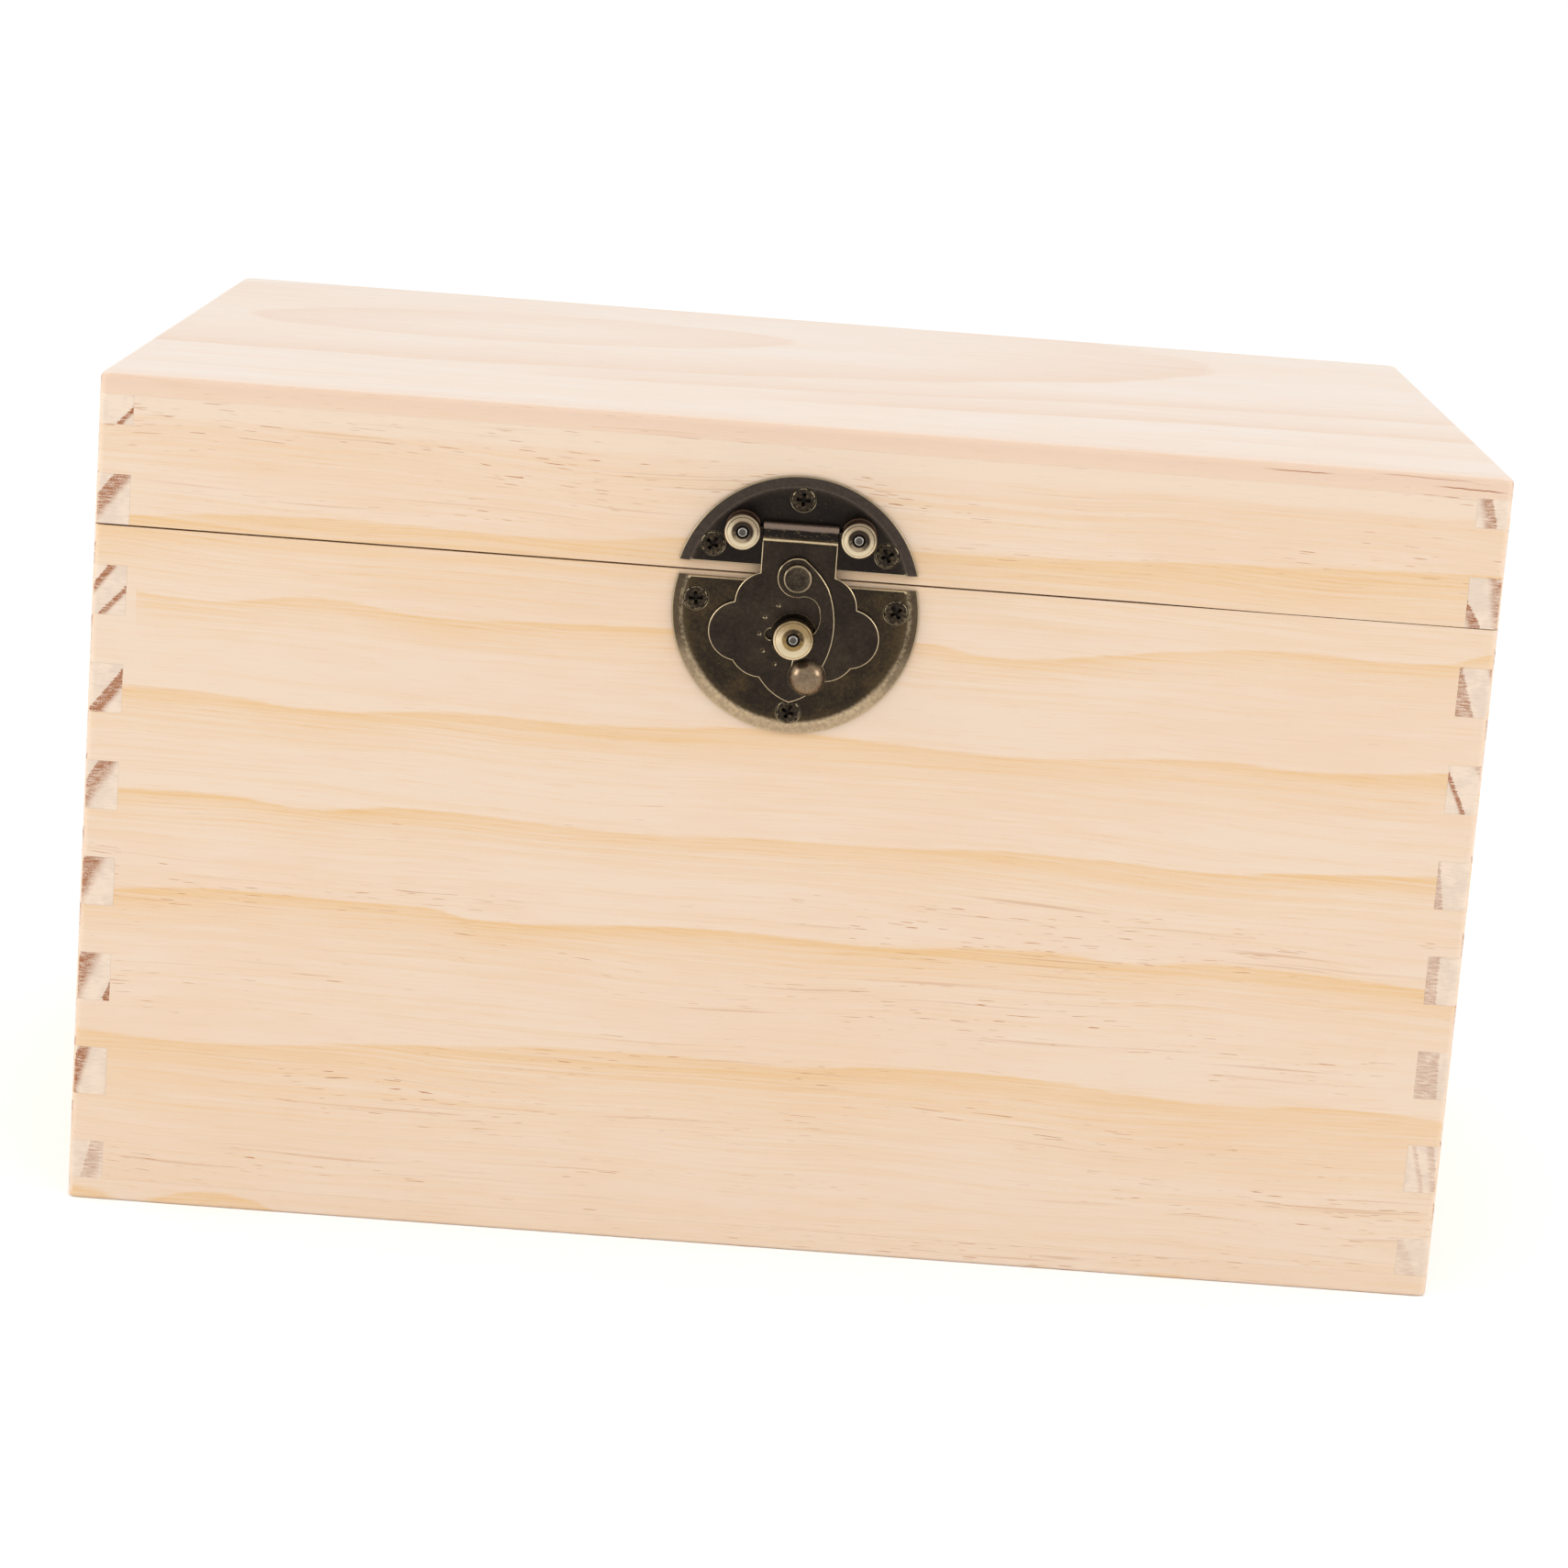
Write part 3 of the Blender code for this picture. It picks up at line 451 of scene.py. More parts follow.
# Latewood lines on the front, in millimetres: the height of each, how strong it is, how far it fades
# downwards, and its points as (place along the board, rise above that height)
FRONT_LINES = (
    (158.2, 0.22, 2.5, (
        (-131, 0), (-90, 0.6), (-33, 0), (10, 0.4), (60, 1.6), (133, 2),
    )),
    (147, 0.68, 8.0, (
        (-131, -4.4), (-90, -2.4), (-52, -3), (-15, -0.3), (22, 0.1), (52, 0.7), (78, 2), (106, 2.9),
        (133, 3.8),
    )),
    (128.5, 0.82, 3.6, (
        (-132, 0), (-117, -2.2), (-95, -0.1), (-71, -2.3), (-52, -1.6), (-30, -1), (26, 0), (41, -1.6),
        (60, 0), (78, 2.4), (104, 4), (119, 3.3), (134, 4.8),
    )),
    (107.5, 0.8, 5.0, (
        (-132, 0), (-117, 0), (-93, -1.8), (-67, -0.3), (-41, -0.7), (-24, 0), (-7, 1), (22, 0), (43, -0.7),
        (60, 0), (88, 1.5), (103, 0.8), (125, 1.9),
    )),
    (86.3, 0.9, 4.2, (
        (-132, 0.3), (-110, 0.3), (-95, -1.2), (-75, 0.5), (-52, -0.4), (-34, -1.2), (0, -0.4), (22, -0.2),
        (47, 0.9), (65, 0.5), (86, -0.4), (104, 0.7), (123, 1.8),
    )),
    (66, 0.9, 4.6, (
        (-132, -0.3), (-108, 1.2), (-82, 0.5), (-71, 0.5), (-58, -1.4), (-41, -1), (-17, 0.3), (4, -0.1),
        (22, -0.7), (41, 0.5), (56, 0.8), (73, -0.3), (86, 0.8), (97, 0.8), (121, -0.3),
    )),
    (38, 0.66, 10.0, (
        (-137, -2.3), (-119, -3.3), (-101, -2.9), (-84, -1.4), (-62, -0.1), (-34, 1.2), (-9, 1), (4, 0.5),
        (22, 1.9), (41, 2.3), (56, 1.9), (75, 0.3), (95, -0.7), (116, 0.5), (132, -0.1),
    )),
)

# The lines' points were read at their darkest, a little below their sharp upper edge
LINE_RAISE = 0.8

# Growth rings on the lid, in millimetres: pointed loops as (size, how far it fades inwards, strength), and
# bands as (place from front to back, strength, how far it fades to the back, its start and end, its points)
LID_LOOPS = ((24.5, 15, 0.8), (62, 13, 1))
LID_BANDS = (
    (-32, 1.05, 8, (-80, 260), ((-80, -17), (-42, -12), (12, -4), (34, 2), (56, 8), (90, 13), (134, 16))),
    (-48, 1.2, 9, (-30, 260), ((-30, -10), (0, -7), (40, -1), (77, 4), (105, 6), (136, 6))),
    (-66, 0.6, 5, (40, 260), ((40, -3), (77, 0), (100, 1), (136, 2))),
    (-52, 0.4, 3, (-300, -50), ((-136, 1), (-99, 0), (-60, -4))),
    (-68, 0.45, 3, (-300, -60), ((-136, 0), (-110, 0.5), (-60, 1))),
    (-80, 0.3, 4, (-60, 110), ((-60, 0), (0, 1), (60, 3), (110, 4))),
)

# Dark resin streaks along the front edge of the lid's panel, in millimetres: start, end and strength
EDGE_STREAKS = (
    ((90, 169.5), (104, 169.3), 0.8), ((112, 170.2), (132, 169.9), 0.45), ((124, 168.6), (138.5, 168.1), 1),
)


# A whole number of rings that keeps their phase above zero
RINGS_BEFORE = 100


def edge_streaks(graph, along, depth, height):
    """The thin dark streaks on the panel's front edge."""
    wobble = (graph.noise(along * 0.3, height * 0.2, 4.5) - 0.5) * 0.5
    marks = []
    for (start, start_height), (end, end_height), strength in EDGE_STREAKS:
        slope = (end_height - start_height) / (end - start)
        rise = height - start_height - (along - start) * slope + wobble
        ends = along.step(start - 1, start + 5) * along.step(end + 1, end - 3)
        marks.append(abs(rise).step(0.17, 0.05) * ends * strength)
    return graph.largest(*marks) * depth.step(0, -10)


def front_lines(graph, along, across):
    """The latewood lines of the front: sharp above, and fading downwards."""
    half_span, half_rise = HALF_WIDTH / MM, 8
    marks = []
    ragged = (graph.noise(along * 0.2, across * 2.5, 0.5, detail=3) - 0.5) * 0.9
    for number, (height, strength, length, points) in enumerate(FRONT_LINES):
        line = graph.line(along, points, half_span, half_rise)
        below = line + (height + LINE_RAISE) - across + ragged
        patchy = graph.noise(along * 0.02, across * 0.05, number + 3.5)
        mark = below.step(-0.1, 0.8) * below.fade(length) * (patchy * 0.7 + 0.68)
        marks.append(mark * strength)
    return graph.largest(*marks)


def rings(graph, along, across, depth, lean, spacing, seed, sway_size=26):
    """Growth rings cut by a board's face, sharp on one side and fading on the other."""
    sway = (graph.noise(along * 0.011, across * 0.02, depth * 0.02 + seed) - 0.5) * sway_size
    wave = (graph.noise(along * 0.04, across * 0.03, seed + 7.3) - 0.5) * (sway_size * 0.1)
    ragged = (graph.noise(along * 0.25, across * 3, seed) - 0.5) * 0.4
    reach = across * cos(lean) + depth * sin(lean) + sway + wave + ragged
    phase = graph.math("FRACT", reach * (-1 / spacing) + RINGS_BEFORE)
    return phase.step(0, 0.03) * phase.fade(0.24)


def placed_rings(graph, across, depth, side, table, waver):
    """The dark rings of a table, sharp on their outer left or right edge and softer behind it."""
    half_span, middle, widest = 90, 86, 8
    height = across - middle
    places = [(z - middle, x) for heights, xs, _, _ in table for z, x in zip(heights, xs)]
    widths = [(z - middle, width) for heights, _, width, _ in table for z in heights]
    strengths = [(z - middle, strength) for heights, _, _, strength in table for z in heights]
    offset = side * HALF_WIDTH / MM
    edge = graph.line(height, [(z, x - offset) for z, x in places], half_span, 16, True)
    width = graph.line(height, widths, half_span, widest, True)
    strength = graph.line(height, strengths, half_span, 1, True)
    behind = (edge + offset - depth) * side + waver
    share = behind / width
    return behind.step(-0.1, 0.25) * share.step(1.1, 0.5) * strength


def lid_rings(graph, along, across, depth, seed):
    """The lid's pointed loops, tilted up a little to the right, and the bands in front of them."""
    tilt = radians(9)
    centre_x, centre_y = -69, 30
    right_share, left_share = 0.38, 0.42
    u = (along - centre_x) * cos(tilt) + (across - centre_y) * sin(tilt)
    v = (across - centre_y) * cos(tilt) - (along - centre_x) * sin(tilt)
    sway = (graph.noise(along * 0.03, across * 0.04, seed) - 0.5) * 6
    ragged = (graph.noise(along * 0.2, across * 1.2, seed + 3) - 0.5) * 1.4 - (CASE_TOP / MM - depth) * 0.4
    right = graph.largest(u, 0) * right_share
    left = graph.math("MINIMUM", u, 0) * left_share
    long_part = right + left
    size = graph.length(long_part, v) + sway + ragged
    marks = []
    for edge, length, strength in LID_LOOPS:
        inside = edge - size
        marks.append(inside.step(-0.3, 1) * inside.fade(length) * strength)
    for place, strength, length, (first, last), points in LID_BANDS:
        line = graph.line(along, points, HALF_WIDTH / MM, 20)
        behind = across - line - place + sway * 0.2 + ragged
        ends = along.step(first, first + 50) * along.step(last, last - 50)
        marks.append(behind.step(-0.3, 0.9) * behind.fade(length) * ends * strength)
    return graph.largest(*marks) * (0.4 + 0.6 * across.step(75, 35))


def quiet_zone(across):
    """Where the front has few streaks, on the body's upper part, and below zero where the lid has more."""
    seam = LID_BASE / MM
    few = across.step(84, 96) * across.step(seam + 8, seam + 2) * 0.85
    return few - across.step(seam + 10, seam + 15) * 0.14


def resin_streaks(graph, run, seed, quiet):
    """Thin reddish streaks and short dark dashes, in loose groups along the grain, rarer in a quiet zone."""
    along, follow, _ = run
    group = graph.noise(along * 0.012, follow * 0.09, seed + 5.7).step(0.42, 0.66) - quiet
    long_streak = (graph.fibres(run, 0.022, 1.6, seed + 9, 1) + group * 0.05).step(0.68, 0.82)
    short_streak = (graph.fibres(run, 0.14, 2.8, seed + 17, 1) + group * 0.04).step(0.74, 0.81)
    dash = (graph.fibres(run, 0.2, 4.6, seed + 23, 0) + group * 0.07).step(0.84, 0.885)
    strength = graph.math("ADD", group * 0.8, 0.2, clamp=True)
    return graph.largest(long_streak * 0.6, short_streak * 0.9, dash * 1.4) * strength


def end_grain(graph, along, across, depth, seed, tables, lean):
    """A board's end: pale, crossed by fine saw marks, with the dark growth rings of the tables."""
    streak = graph.noise(across * 3.2, depth * 0.5, along * 0.3 + seed, detail=3)
    grit = graph.noise(across * 4.5, depth * 4.5, along + seed, detail=2)
    cloud = graph.noise(across * 0.25, depth * 0.3, along * 0.1 + seed + 6)
    waver = (grit - 0.5) * 0.9 + (streak - 0.5) * 0.8
    if tables:
        side, first, second = tables
        marks = graph.largest(
            placed_rings(graph, across, depth, side, first, waver),
            placed_rings(graph, across, depth, side, second, waver),
        )
    else:
        marks = rings(graph, along * 0.1, across, depth, lean, 9, seed + 1, 6) * 0.8
    ground = (cloud * 0.7 + streak * 0.3).step(0.38, 0.6).mix(END_PALE, END_GREY)
    dark = marks * ((streak - 0.5) * 2.4 + (grit - 0.5) * 2.6 + 0.9) + (streak - 0.5) * 0.35
    return dark.mix(ground, END_DARK)


def panel_colours(place, facing, lit_top_colours):
    """The lid panel's colours of early wood and late wood: paler on its flat top than round its edge, a
    painted light as if lit from above, with a painted shade on the top towards its rounded front edge.
    """
    # Painted shade on the top towards the rounded front edge, and painted light where the panel faces up
    front_edge_shade = (place[1] + HALF_DEPTH / MM).step(8, 0) * 0.3
    lit_top_share = facing[2].step(0.55, 0.95) * (1 - front_edge_shade)
    joint = place[2].step(LID_FRAME_TOP / MM + 3, LID_FRAME_TOP / MM)
    side = (joint * 0.6).mix(PANEL_EDGE, EARLY)
    return [lit_top_share.mix(edge, top) for edge, top in zip((side, side, PANEL_EDGE_LATE), lit_top_colours)]


def pine(name, axes, seed, grain, lean=0, spacing=0, resin=1, lit_top_colours=None, tables=None, end_lean=0.9):
    """Bare pine. The axes say which way the grain runs, across and through the board.

    The grain is the placed "lines" of the front, the "loops" of the lid, or made-up "rings", which lean by an
    angle and have a spacing in millimetres. The tables place the rings on the ends that the photograph shows.
    """
    graph = Graph(name)
    place = graph.place()
    facing = graph.facing()
    along, across, depth = (place[axis] for axis in axes)
    early, pale, late_colour = EARLY, EARLY_PALE, LATE
    if lit_top_colours:
        early, pale, late_colour = panel_colours(place, facing, lit_top_colours)
    pale_edge = quiet = 0
    if grain == "lines":
        late = front_lines(graph, along, across + (depth + HALF_DEPTH / MM) * 0.35)
        late = late + across.step(BODY_TOP / MM, LID_BASE / MM) * 0.09
        pale_edge = across.step(LID_FRAME_TOP / MM - 5, LID_FRAME_TOP / MM - 2.5)
        quiet = quiet_zone(across)
    elif grain == "loops":
        late = lid_rings(graph, along, across, depth, seed)
    else:
        late = rings(graph, along, across, depth, lean, spacing, seed) * 0.75

    sway = (graph.noise(along * 0.01, across * 0.03, seed + 2.1) - 0.5) * 8
    run = (along, across + sway + along * 0.012, depth)
    fibre = graph.fibres(run, 0.1, 4.2, seed, 4, 0.6)
    thread = graph.fibres(run, 0.02, 0.8, seed, 3)
    blotch = graph.noise(along * 0.012, across * 0.035, depth * 0.05 + seed)
    cloud = graph.fibres(run, 0.05, 0.35, seed + 4)
    ripple = graph.fibres(run, 2.2, 0.5, seed + 12)
    stripe = graph.fibres(run, 0.007, 1.7, seed + 15, 3, 0.65)

    base = ((blotch + (cloud - 0.5) * 0.6).step(0.3, 0.75) - pale_edge).mix(pale, early)
    grain_lines = (thread - 0.5) * 0.6 + (stripe - 0.5) * 0.9 + (fibre - 0.5) * 0.4 + (ripple - 0.5) * 0.14
    warmth = late * ((stripe - 0.5) * 1.2 + 1) + grain_lines - pale_edge * 0.3
    fine = fibre.step(0.54, 0.8) * (late * 0.6 + 0.3)
    face = fine.mix(warmth.mix(base, late_colour), FIBRE)
    streaks = resin_streaks(graph, run, seed, quiet) * resin
    face = (streaks * 0.6).mix(face, RESIN)
    if grain == "loops":
        face = edge_streaks(graph, along, across, depth).mix(face, END_DARK)

    end_face = end_grain(graph, along, across, depth, seed, tables, end_lean)
    graph.set("Specular IOR Level", 0.4)
    colour = abs(facing[axes[0]]).step(0.6, 0.8).mix(face, end_face)
    roughness = 0.56 - late * 0.1 + (fibre - 0.5) * 0.12
    height = fibre * 0.6 + thread * 0.25 + ripple * 0.15 - streaks * 0.5
    return graph.finish(colour, 0, roughness, height, 0.05 * MM, 0.6)


DARK_BRONZE = srgb(40, 33, 27)
WARM_BRONZE = srgb(65, 55, 44)
BLACK_BRONZE = srgb(30, 25, 22)
# The barrel's painted lit colour, for its upper side
LIT_BARREL_BRONZE = srgb(126, 108, 96)
UPPER_BRONZE = srgb(49, 41, 34)
OLIVE_BRONZE = srgb(80, 65, 42)
BALL_BRONZE = srgb(104, 86, 68)
# Light bronze for rubbed and worn parts, also used for painted highlights and painted reflections of the
# floor
RUBBED_AND_LIT_BRONZE = srgb(150, 130, 104)
WORN_AND_LIT_BRONZE = srgb(198, 178, 143)
RIM_BRASS = srgb(84, 70, 53)
# The lower rim's colour at the bottom: lighter as a painted reflection of the pale floor
RIM_LIT_BRASS = srgb(178, 156, 126)
RIM_BROWN = srgb(70, 60, 53)
DULL_BRASS = srgb(120, 102, 72)
CAP_BRASS = srgb(168, 147, 119)
CAP_DARK = srgb(52, 43, 35)
SIDE_DARK = srgb(66, 49, 38)
KEEPER_BRASS = srgb(156, 128, 80)
CAP_HIGHLIGHT = srgb(222, 204, 170)
RIVET_WARM = srgb(98, 84, 68)
RIVET_GREY = srgb(164, 160, 152)
RIVET_DARK = srgb(64, 56, 50)


def metal(
    name, seed, polish=0.32, dark=DARK_BRONZE, warm=WARM_BRONZE, wear=1.0, rim=None, dots=None, front=2
):
    """Plated bronze, mottled and dusty, with its rounded edges worn bright.

    A rim is the ring round a plate: its middle, its straight edge's height, its inner and outer radius, its
    colour above and its colour below, which is lighter as a painted reflection of the floor, and how bright
    the painted highlight along its crest is. Dots are the middle of a ring of them, and the front is the axis
    that the fitting's face looks along.
    """
    graph = Graph(name)
    x, y, z = place = graph.place()
    facing = graph.facing()
    mottle = graph.speckle(place, 1.3, seed, 5, 0.62)
    patch = graph.speckle(place, 0.16, seed + 3)
    scratch = graph.noise(x * 0.5 + y * 4, y * 0.4 - x * 2.5, z + seed, detail=2)
    share = (mottle * 0.45 + patch * 0.5 + scratch * 0.15).step(0.42, 0.85)
    colour = share.mix(dark, warm)
    speck = graph.speckle(place, 2.6, seed + 8).step(0.68, 0.76)
    colour = (speck * 0.4).mix(colour, DULL_BRASS)
    tilt = facing[front].step(0.995, 0.93) * facing[front].step(-0.1, 0.2)
    worn = tilt * (mottle.step(0.15, 0.45) * 0.6 + 0.4) * wear
    if dots:
        across, rise = x - dots.x / MM, y - dots.y / MM
        reach = graph.length(across, rise)
        worn = worn * (abs(reach - DOT_RING_R / MM).step(0.7, 0.9) * 0.7 + 0.3)
    if rim:
        centre, chord, inner, outer, side_colour, lit_low_colour, crest = rim
        rise = y - centre.y / MM
        reach = graph.length(x, rise)
        rough_reach = reach + (mottle - 0.5) * 0.4
        glow = rough_reach.step(inner / MM - 2, inner / MM) * 0.45
        ring = rough_reach.step(inner / MM - 0.7, inner / MM + 0.3)
        straight = abs(y - chord / MM).step(0.8, 0.4) * 0.8 + 0.2
        flat_part = reach.step(inner / MM + 0.4, inner / MM) * straight
        lip = reach.step(outer / MM - 0.35, outer / MM - 0.15)
        # Painted highlight: a thin bright line along the rim's crest
        crest_highlight = abs(reach - inner / MM - 0.5).step(0.6, 0.1) * crest
        worn = worn * graph.largest(flat_part, lip * 0.6) + crest_highlight * mottle.step(0.35, 0.65)
        # Painted reflection: the rim turns lighter towards the bottom, where it faces the pale floor
        floor_lit_share = (rise / reach + (patch - 0.5) * 0.4).step(-0.2, -0.85)
        ring_colour = floor_lit_share.mix(side_colour, lit_low_colour)
        ring_colour = (mottle.step(0.62, 0.4) * 0.25).mix(ring_colour, dark)
        colour = glow.mix(colour, warm)
        colour = ring.mix(colour, ring_colour)
    colour = worn.mix(colour, WORN_AND_LIT_BRONZE)
    gloss = polish + (mottle - 0.5) * 0.2 + (patch - 0.5) * 0.15
    return graph.finish(colour, 0.92, gloss, mottle * 0.6 + scratch * 0.4, 0.025 * MM, 0.3)


def knuckle_metal(name, axis):
    """The hasp's rolled barrel, shaded in painted bands: a painted lit brown above, painted black shade
    across its middle, a painted highlight below that, and a bright lip under it that is partly wear and
    partly a painted highlight.
    """
    graph = Graph(name)
    x, y, z = place = graph.place()
    mottle = graph.noise(x * 0.8, y * 2.4, z * 2.4, detail=4, roughness=0.65)
    spots = graph.speckle(place, 2.2, 5)
    rise = y - axis / MM + (mottle - 0.5) * 0.5
    # Painted light on the round barrel: lit brown above the axis, painted black shade across the middle
    brown = rise.step(0.35, 0.8)
    colour = (brown * 0.9).mix(BLACK_BRONZE, LIT_BARREL_BRONZE)
    colour = (spots.step(0.6, 0.72) * 0.5).mix(colour, DULL_BRASS)
    # Painted highlight below the barrel's axis
    glow = rise.step(-0.9, -1.5)
    colour = (glow * 0.5).mix(colour, RUBBED_AND_LIT_BRONZE)
    # The lip under the barrel: partly wear, partly a painted highlight
    lip = abs(rise + 2).step(0.9, 0.4)
    # Painted highlight where a small slit below the lip would catch the light; the slit is not modelled
    slit_highlight = abs(x - 0.6).step(0.75, 0.6) * abs(rise + 3.45).step(0.2, 0.1)
    lip = graph.largest(lip, slit_highlight)
    colour = (lip * (mottle.step(0.2, 0.6) * 0.5 + 0.5)).mix(colour, WORN_AND_LIT_BRONZE)
    return graph.finish(colour, 0.9, 0.3 + (mottle - 0.5) * 0.25, mottle, 0.03 * MM, 0.4)


def ball_metal(name, centre):
    """The hook's ball: brown bronze, lighter towards its lower edge, with a painted reflection of the pale
    floor round its lower rim.
    """
    graph = Graph(name)
    x, y, z = place = graph.place()
    facing = graph.facing()
    mottle = graph.speckle(place, 1.1, 0, 5, 0.65)
    # Painted light: lighter towards the bottom, and a painted reflection of the pale floor round the lower
    # rim
    low = (y - centre.y / MM + (mottle - 0.5) * 1.2).step(-0.6, -3.4)
    floor_reflection = facing[2].step(0.6, 0.2) * low
    colour = (mottle.step(0.25, 0.75) * 0.6 + low * 0.5).mix(BALL_BRONZE, RUBBED_AND_LIT_BRONZE)
    colour = floor_reflection.mix(colour, WORN_AND_LIT_BRONZE)
    return graph.finish(colour, 0.88, 0.27 + (mottle - 0.5) * 0.2, mottle, 0.03 * MM, 0.4)


def turned_brass(name, seed, top_darkening, brass, front):
    """A turned cap's brass: a painted highlight on its raised edge, brighter towards its lower side, patchy
    and darker in its dish, round its rivet and towards the top, and dark down its sides.
    """
    graph = Graph(name)
    x, y, z = place = graph.place()
    facing = graph.facing()
    reach = graph.length(x, y)
    spots = graph.speckle(place, 0.9, seed, 5, 0.68)
    # Painted highlight on the raised edge, stronger towards the lower side
    edge = facing[2].step(0.9995, 0.97) * facing[2].step(0.3, 0.6) * reach.step(2, 2.4)
    edge = edge * z.step(front / MM - 0.9, front / MM - 0.6)
    # Darker towards the top
    above = (y + x * 0.25 + (spots - 0.5) * 2.5).step(-1.8, 1.6)
    share = (spots * 0.6 + above * top_darkening).step(0.22, 0.68) * (1 - edge * 0.6)
    share = graph.largest(share, reach.step(1.55, 1.3))
    below = (y + x * 0.3 + (spots - 0.5) * 3).step(2.5, -1.5)
    colour = (edge * (below * 0.75 + 0.1)).mix(share.mix(brass, CAP_DARK), CAP_HIGHLIGHT)
    side = graph.largest(facing[2].step(0.5, 0.2), z.step(front / MM - 0.8, front / MM - 1))
    colour = (side * 0.95).mix(colour, SIDE_DARK)
    return graph.finish(colour, 0.95, 0.26 + share * 0.12, spots, 0.04 * MM, 0.5)


def rivet_metal(name):
    """A rivet's grey steel: bright round its rim, dark in the hollow of its end."""
    graph = Graph(name)
    x, y, z = place = graph.place()
    reach = graph.length(x, y)
    grain = graph.speckle(place, 3, 0, 3)
    hollow = (reach + (grain - 0.5) * 0.25).step(0.78, 0.6)
    colour = (hollow * 0.9).mix(RIVET_GREY, RIVET_DARK)
    return graph.finish(colour, 0.9, 0.34 + (grain - 0.5) * 0.15)


def screw_metal(name):
    """A dark plated screw, with parts of its head's rim worn lighter."""
    graph = Graph(name)
    x, y, z = place = graph.place()
    reach = graph.length(x, y)
    grain = graph.speckle(place, 1.6, 0, 4, 0.65)
    rim = reach.step(2.08, 2.2) * z.step(-0.3, -0.1)
    tone = grain.step(0.42, 0.85) * 0.6
    colour = tone.mix(DARK_BRONZE, DULL_BRASS)
    colour = (rim * grain.step(0.45, 0.6) * 0.5).mix(colour, WORN_AND_LIT_BRONZE)
    # Painted shade: black in the cross recess and down the head where it sits in its sink
    colour = z.step(-0.02, -0.25).mix(colour, BLACK_BRONZE)
    return graph.finish(colour, 0.9, 0.36 + (grain - 0.5) * 0.2, grain, 0.04 * MM, 0.4)


# Meshes


def smoothed(mesh):
    """The mesh, smooth over its rounds and sharp at its corners."""
    mesh.shade_smooth()
    mesh.set_sharp_from_angle(angle=SMOOTH_ANGLE)
    return mesh


def finish_mesh(bm):
    """Turns bm into a mesh."""
    mesh = bpy.data.meshes.new("mesh")
    bmesh.ops.recalc_face_normals(bm, faces=bm.faces)
    bm.to_mesh(mesh)
    bm.free()
    return smoothed(mesh)


def linked(name, data):
    """A new object in the scene."""
    obj = bpy.data.objects.new(name, data)
    bpy.context.scene.collection.objects.link(obj)
    return obj


def evaluated_mesh(obj):
    """Swaps obj for its mesh with modifiers applied."""
    bpy.context.view_layer.update()
    mesh = bpy.data.meshes.new_from_object(obj.evaluated_get(bpy.context.evaluated_depsgraph_get()))
    bpy.data.objects.remove(obj)
    return mesh


def combined(mesh, others, operation):
    """The mesh after a union with, or a cut by, the other meshes."""
    target = linked("target", mesh)
    tools = [linked("tool", other) for other in others]
    for tool in tools:
        boolean = target.modifiers.new("boolean", "BOOLEAN")
        boolean.object = tool
        boolean.operation = operation
    result = evaluated_mesh(target)
    for tool in tools:
        bpy.data.objects.remove(tool)
    return smoothed(result)


def paint(mesh, materials, number=0):
    """Gives all of a mesh one of the materials."""
    mesh.materials.clear()
    for material in materials:
        mesh.materials.append(material)
    mesh.polygons.foreach_set("material_index", [number] * len(mesh.polygons))
    return mesh


def piece(node, mesh, material, slot, body, matrix=None):
    """The piece that stands for a CAD node and rides on a body."""
    obj = linked(node + ("_wood" if slot == "pine" else "_metal"), mesh)
    if material:
        paint(mesh, [material])
    if matrix:
        obj.matrix_world = matrix
    weighted = obj.modifiers.new("normals", "WEIGHTED_NORMAL")
    weighted.keep_sharp = True
    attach(obj, body)
    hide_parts(node)


def extruded(outline, low, high, axes):
    """A closed outline pushed from low to high along the third of the axes."""
    bm = bmesh.new()
    layers = []
    for height in (low, high):
        ring = []
        for x, y in outline:
            point = [0, 0, 0]
            point[axes[0]], point[axes[1]], point[axes[2]] = x, y, height
            ring.append(bm.verts.new(point))
        layers.append(ring)
    bridge(bm, layers)
    return bm


def bridge(bm, loops, closed=False):
    """Joins rings of vertices into a closed surface, with a face at each end unless it closes on itself."""
    pairs = list(zip(loops, loops[1:]))
    if closed:
        pairs.append((loops[-1], loops[0]))
    else:
        for ring in (loops[0], loops[-1]):
            if len(ring) > 1:
                bm.faces.new(ring)
    for first, second in pairs:
        count = max(len(first), len(second))
        for index in range(count):
            following = (index + 1) % count
            corners = []
            for ring, place in ((first, index), (first, following), (second, following), (second, index)):
                vert = ring[place % len(ring)]
                if vert not in corners:
                    corners.append(vert)
            bm.faces.new(corners)


def lofted(layers):
    """A closed surface over layers, each of them a ring of (x, y) points and its height."""
    bm = bmesh.new()
    bridge(bm, [[bm.verts.new((x, y, height)) for x, y in ring] for ring, height in layers])
    return finish_mesh(bm)


def turned(profile, sides=SIDES):
    """A profile of (radius, height) points turned about Z. One that ends where it starts makes a ring."""
    bm = bmesh.new()
    closed = profile[0] == profile[-1]
    made = []
    for reach, height in profile[:-1] if closed else profile:
        if reach == 0:
            made.append([bm.verts.new((0, 0, height))])
            continue
        turns = [2 * pi * side / sides for side in range(sides)]
        made.append([bm.verts.new((reach * cos(t), reach * sin(t), height)) for t in turns])
    bridge(bm, made, closed)
    return finish_mesh(bm)


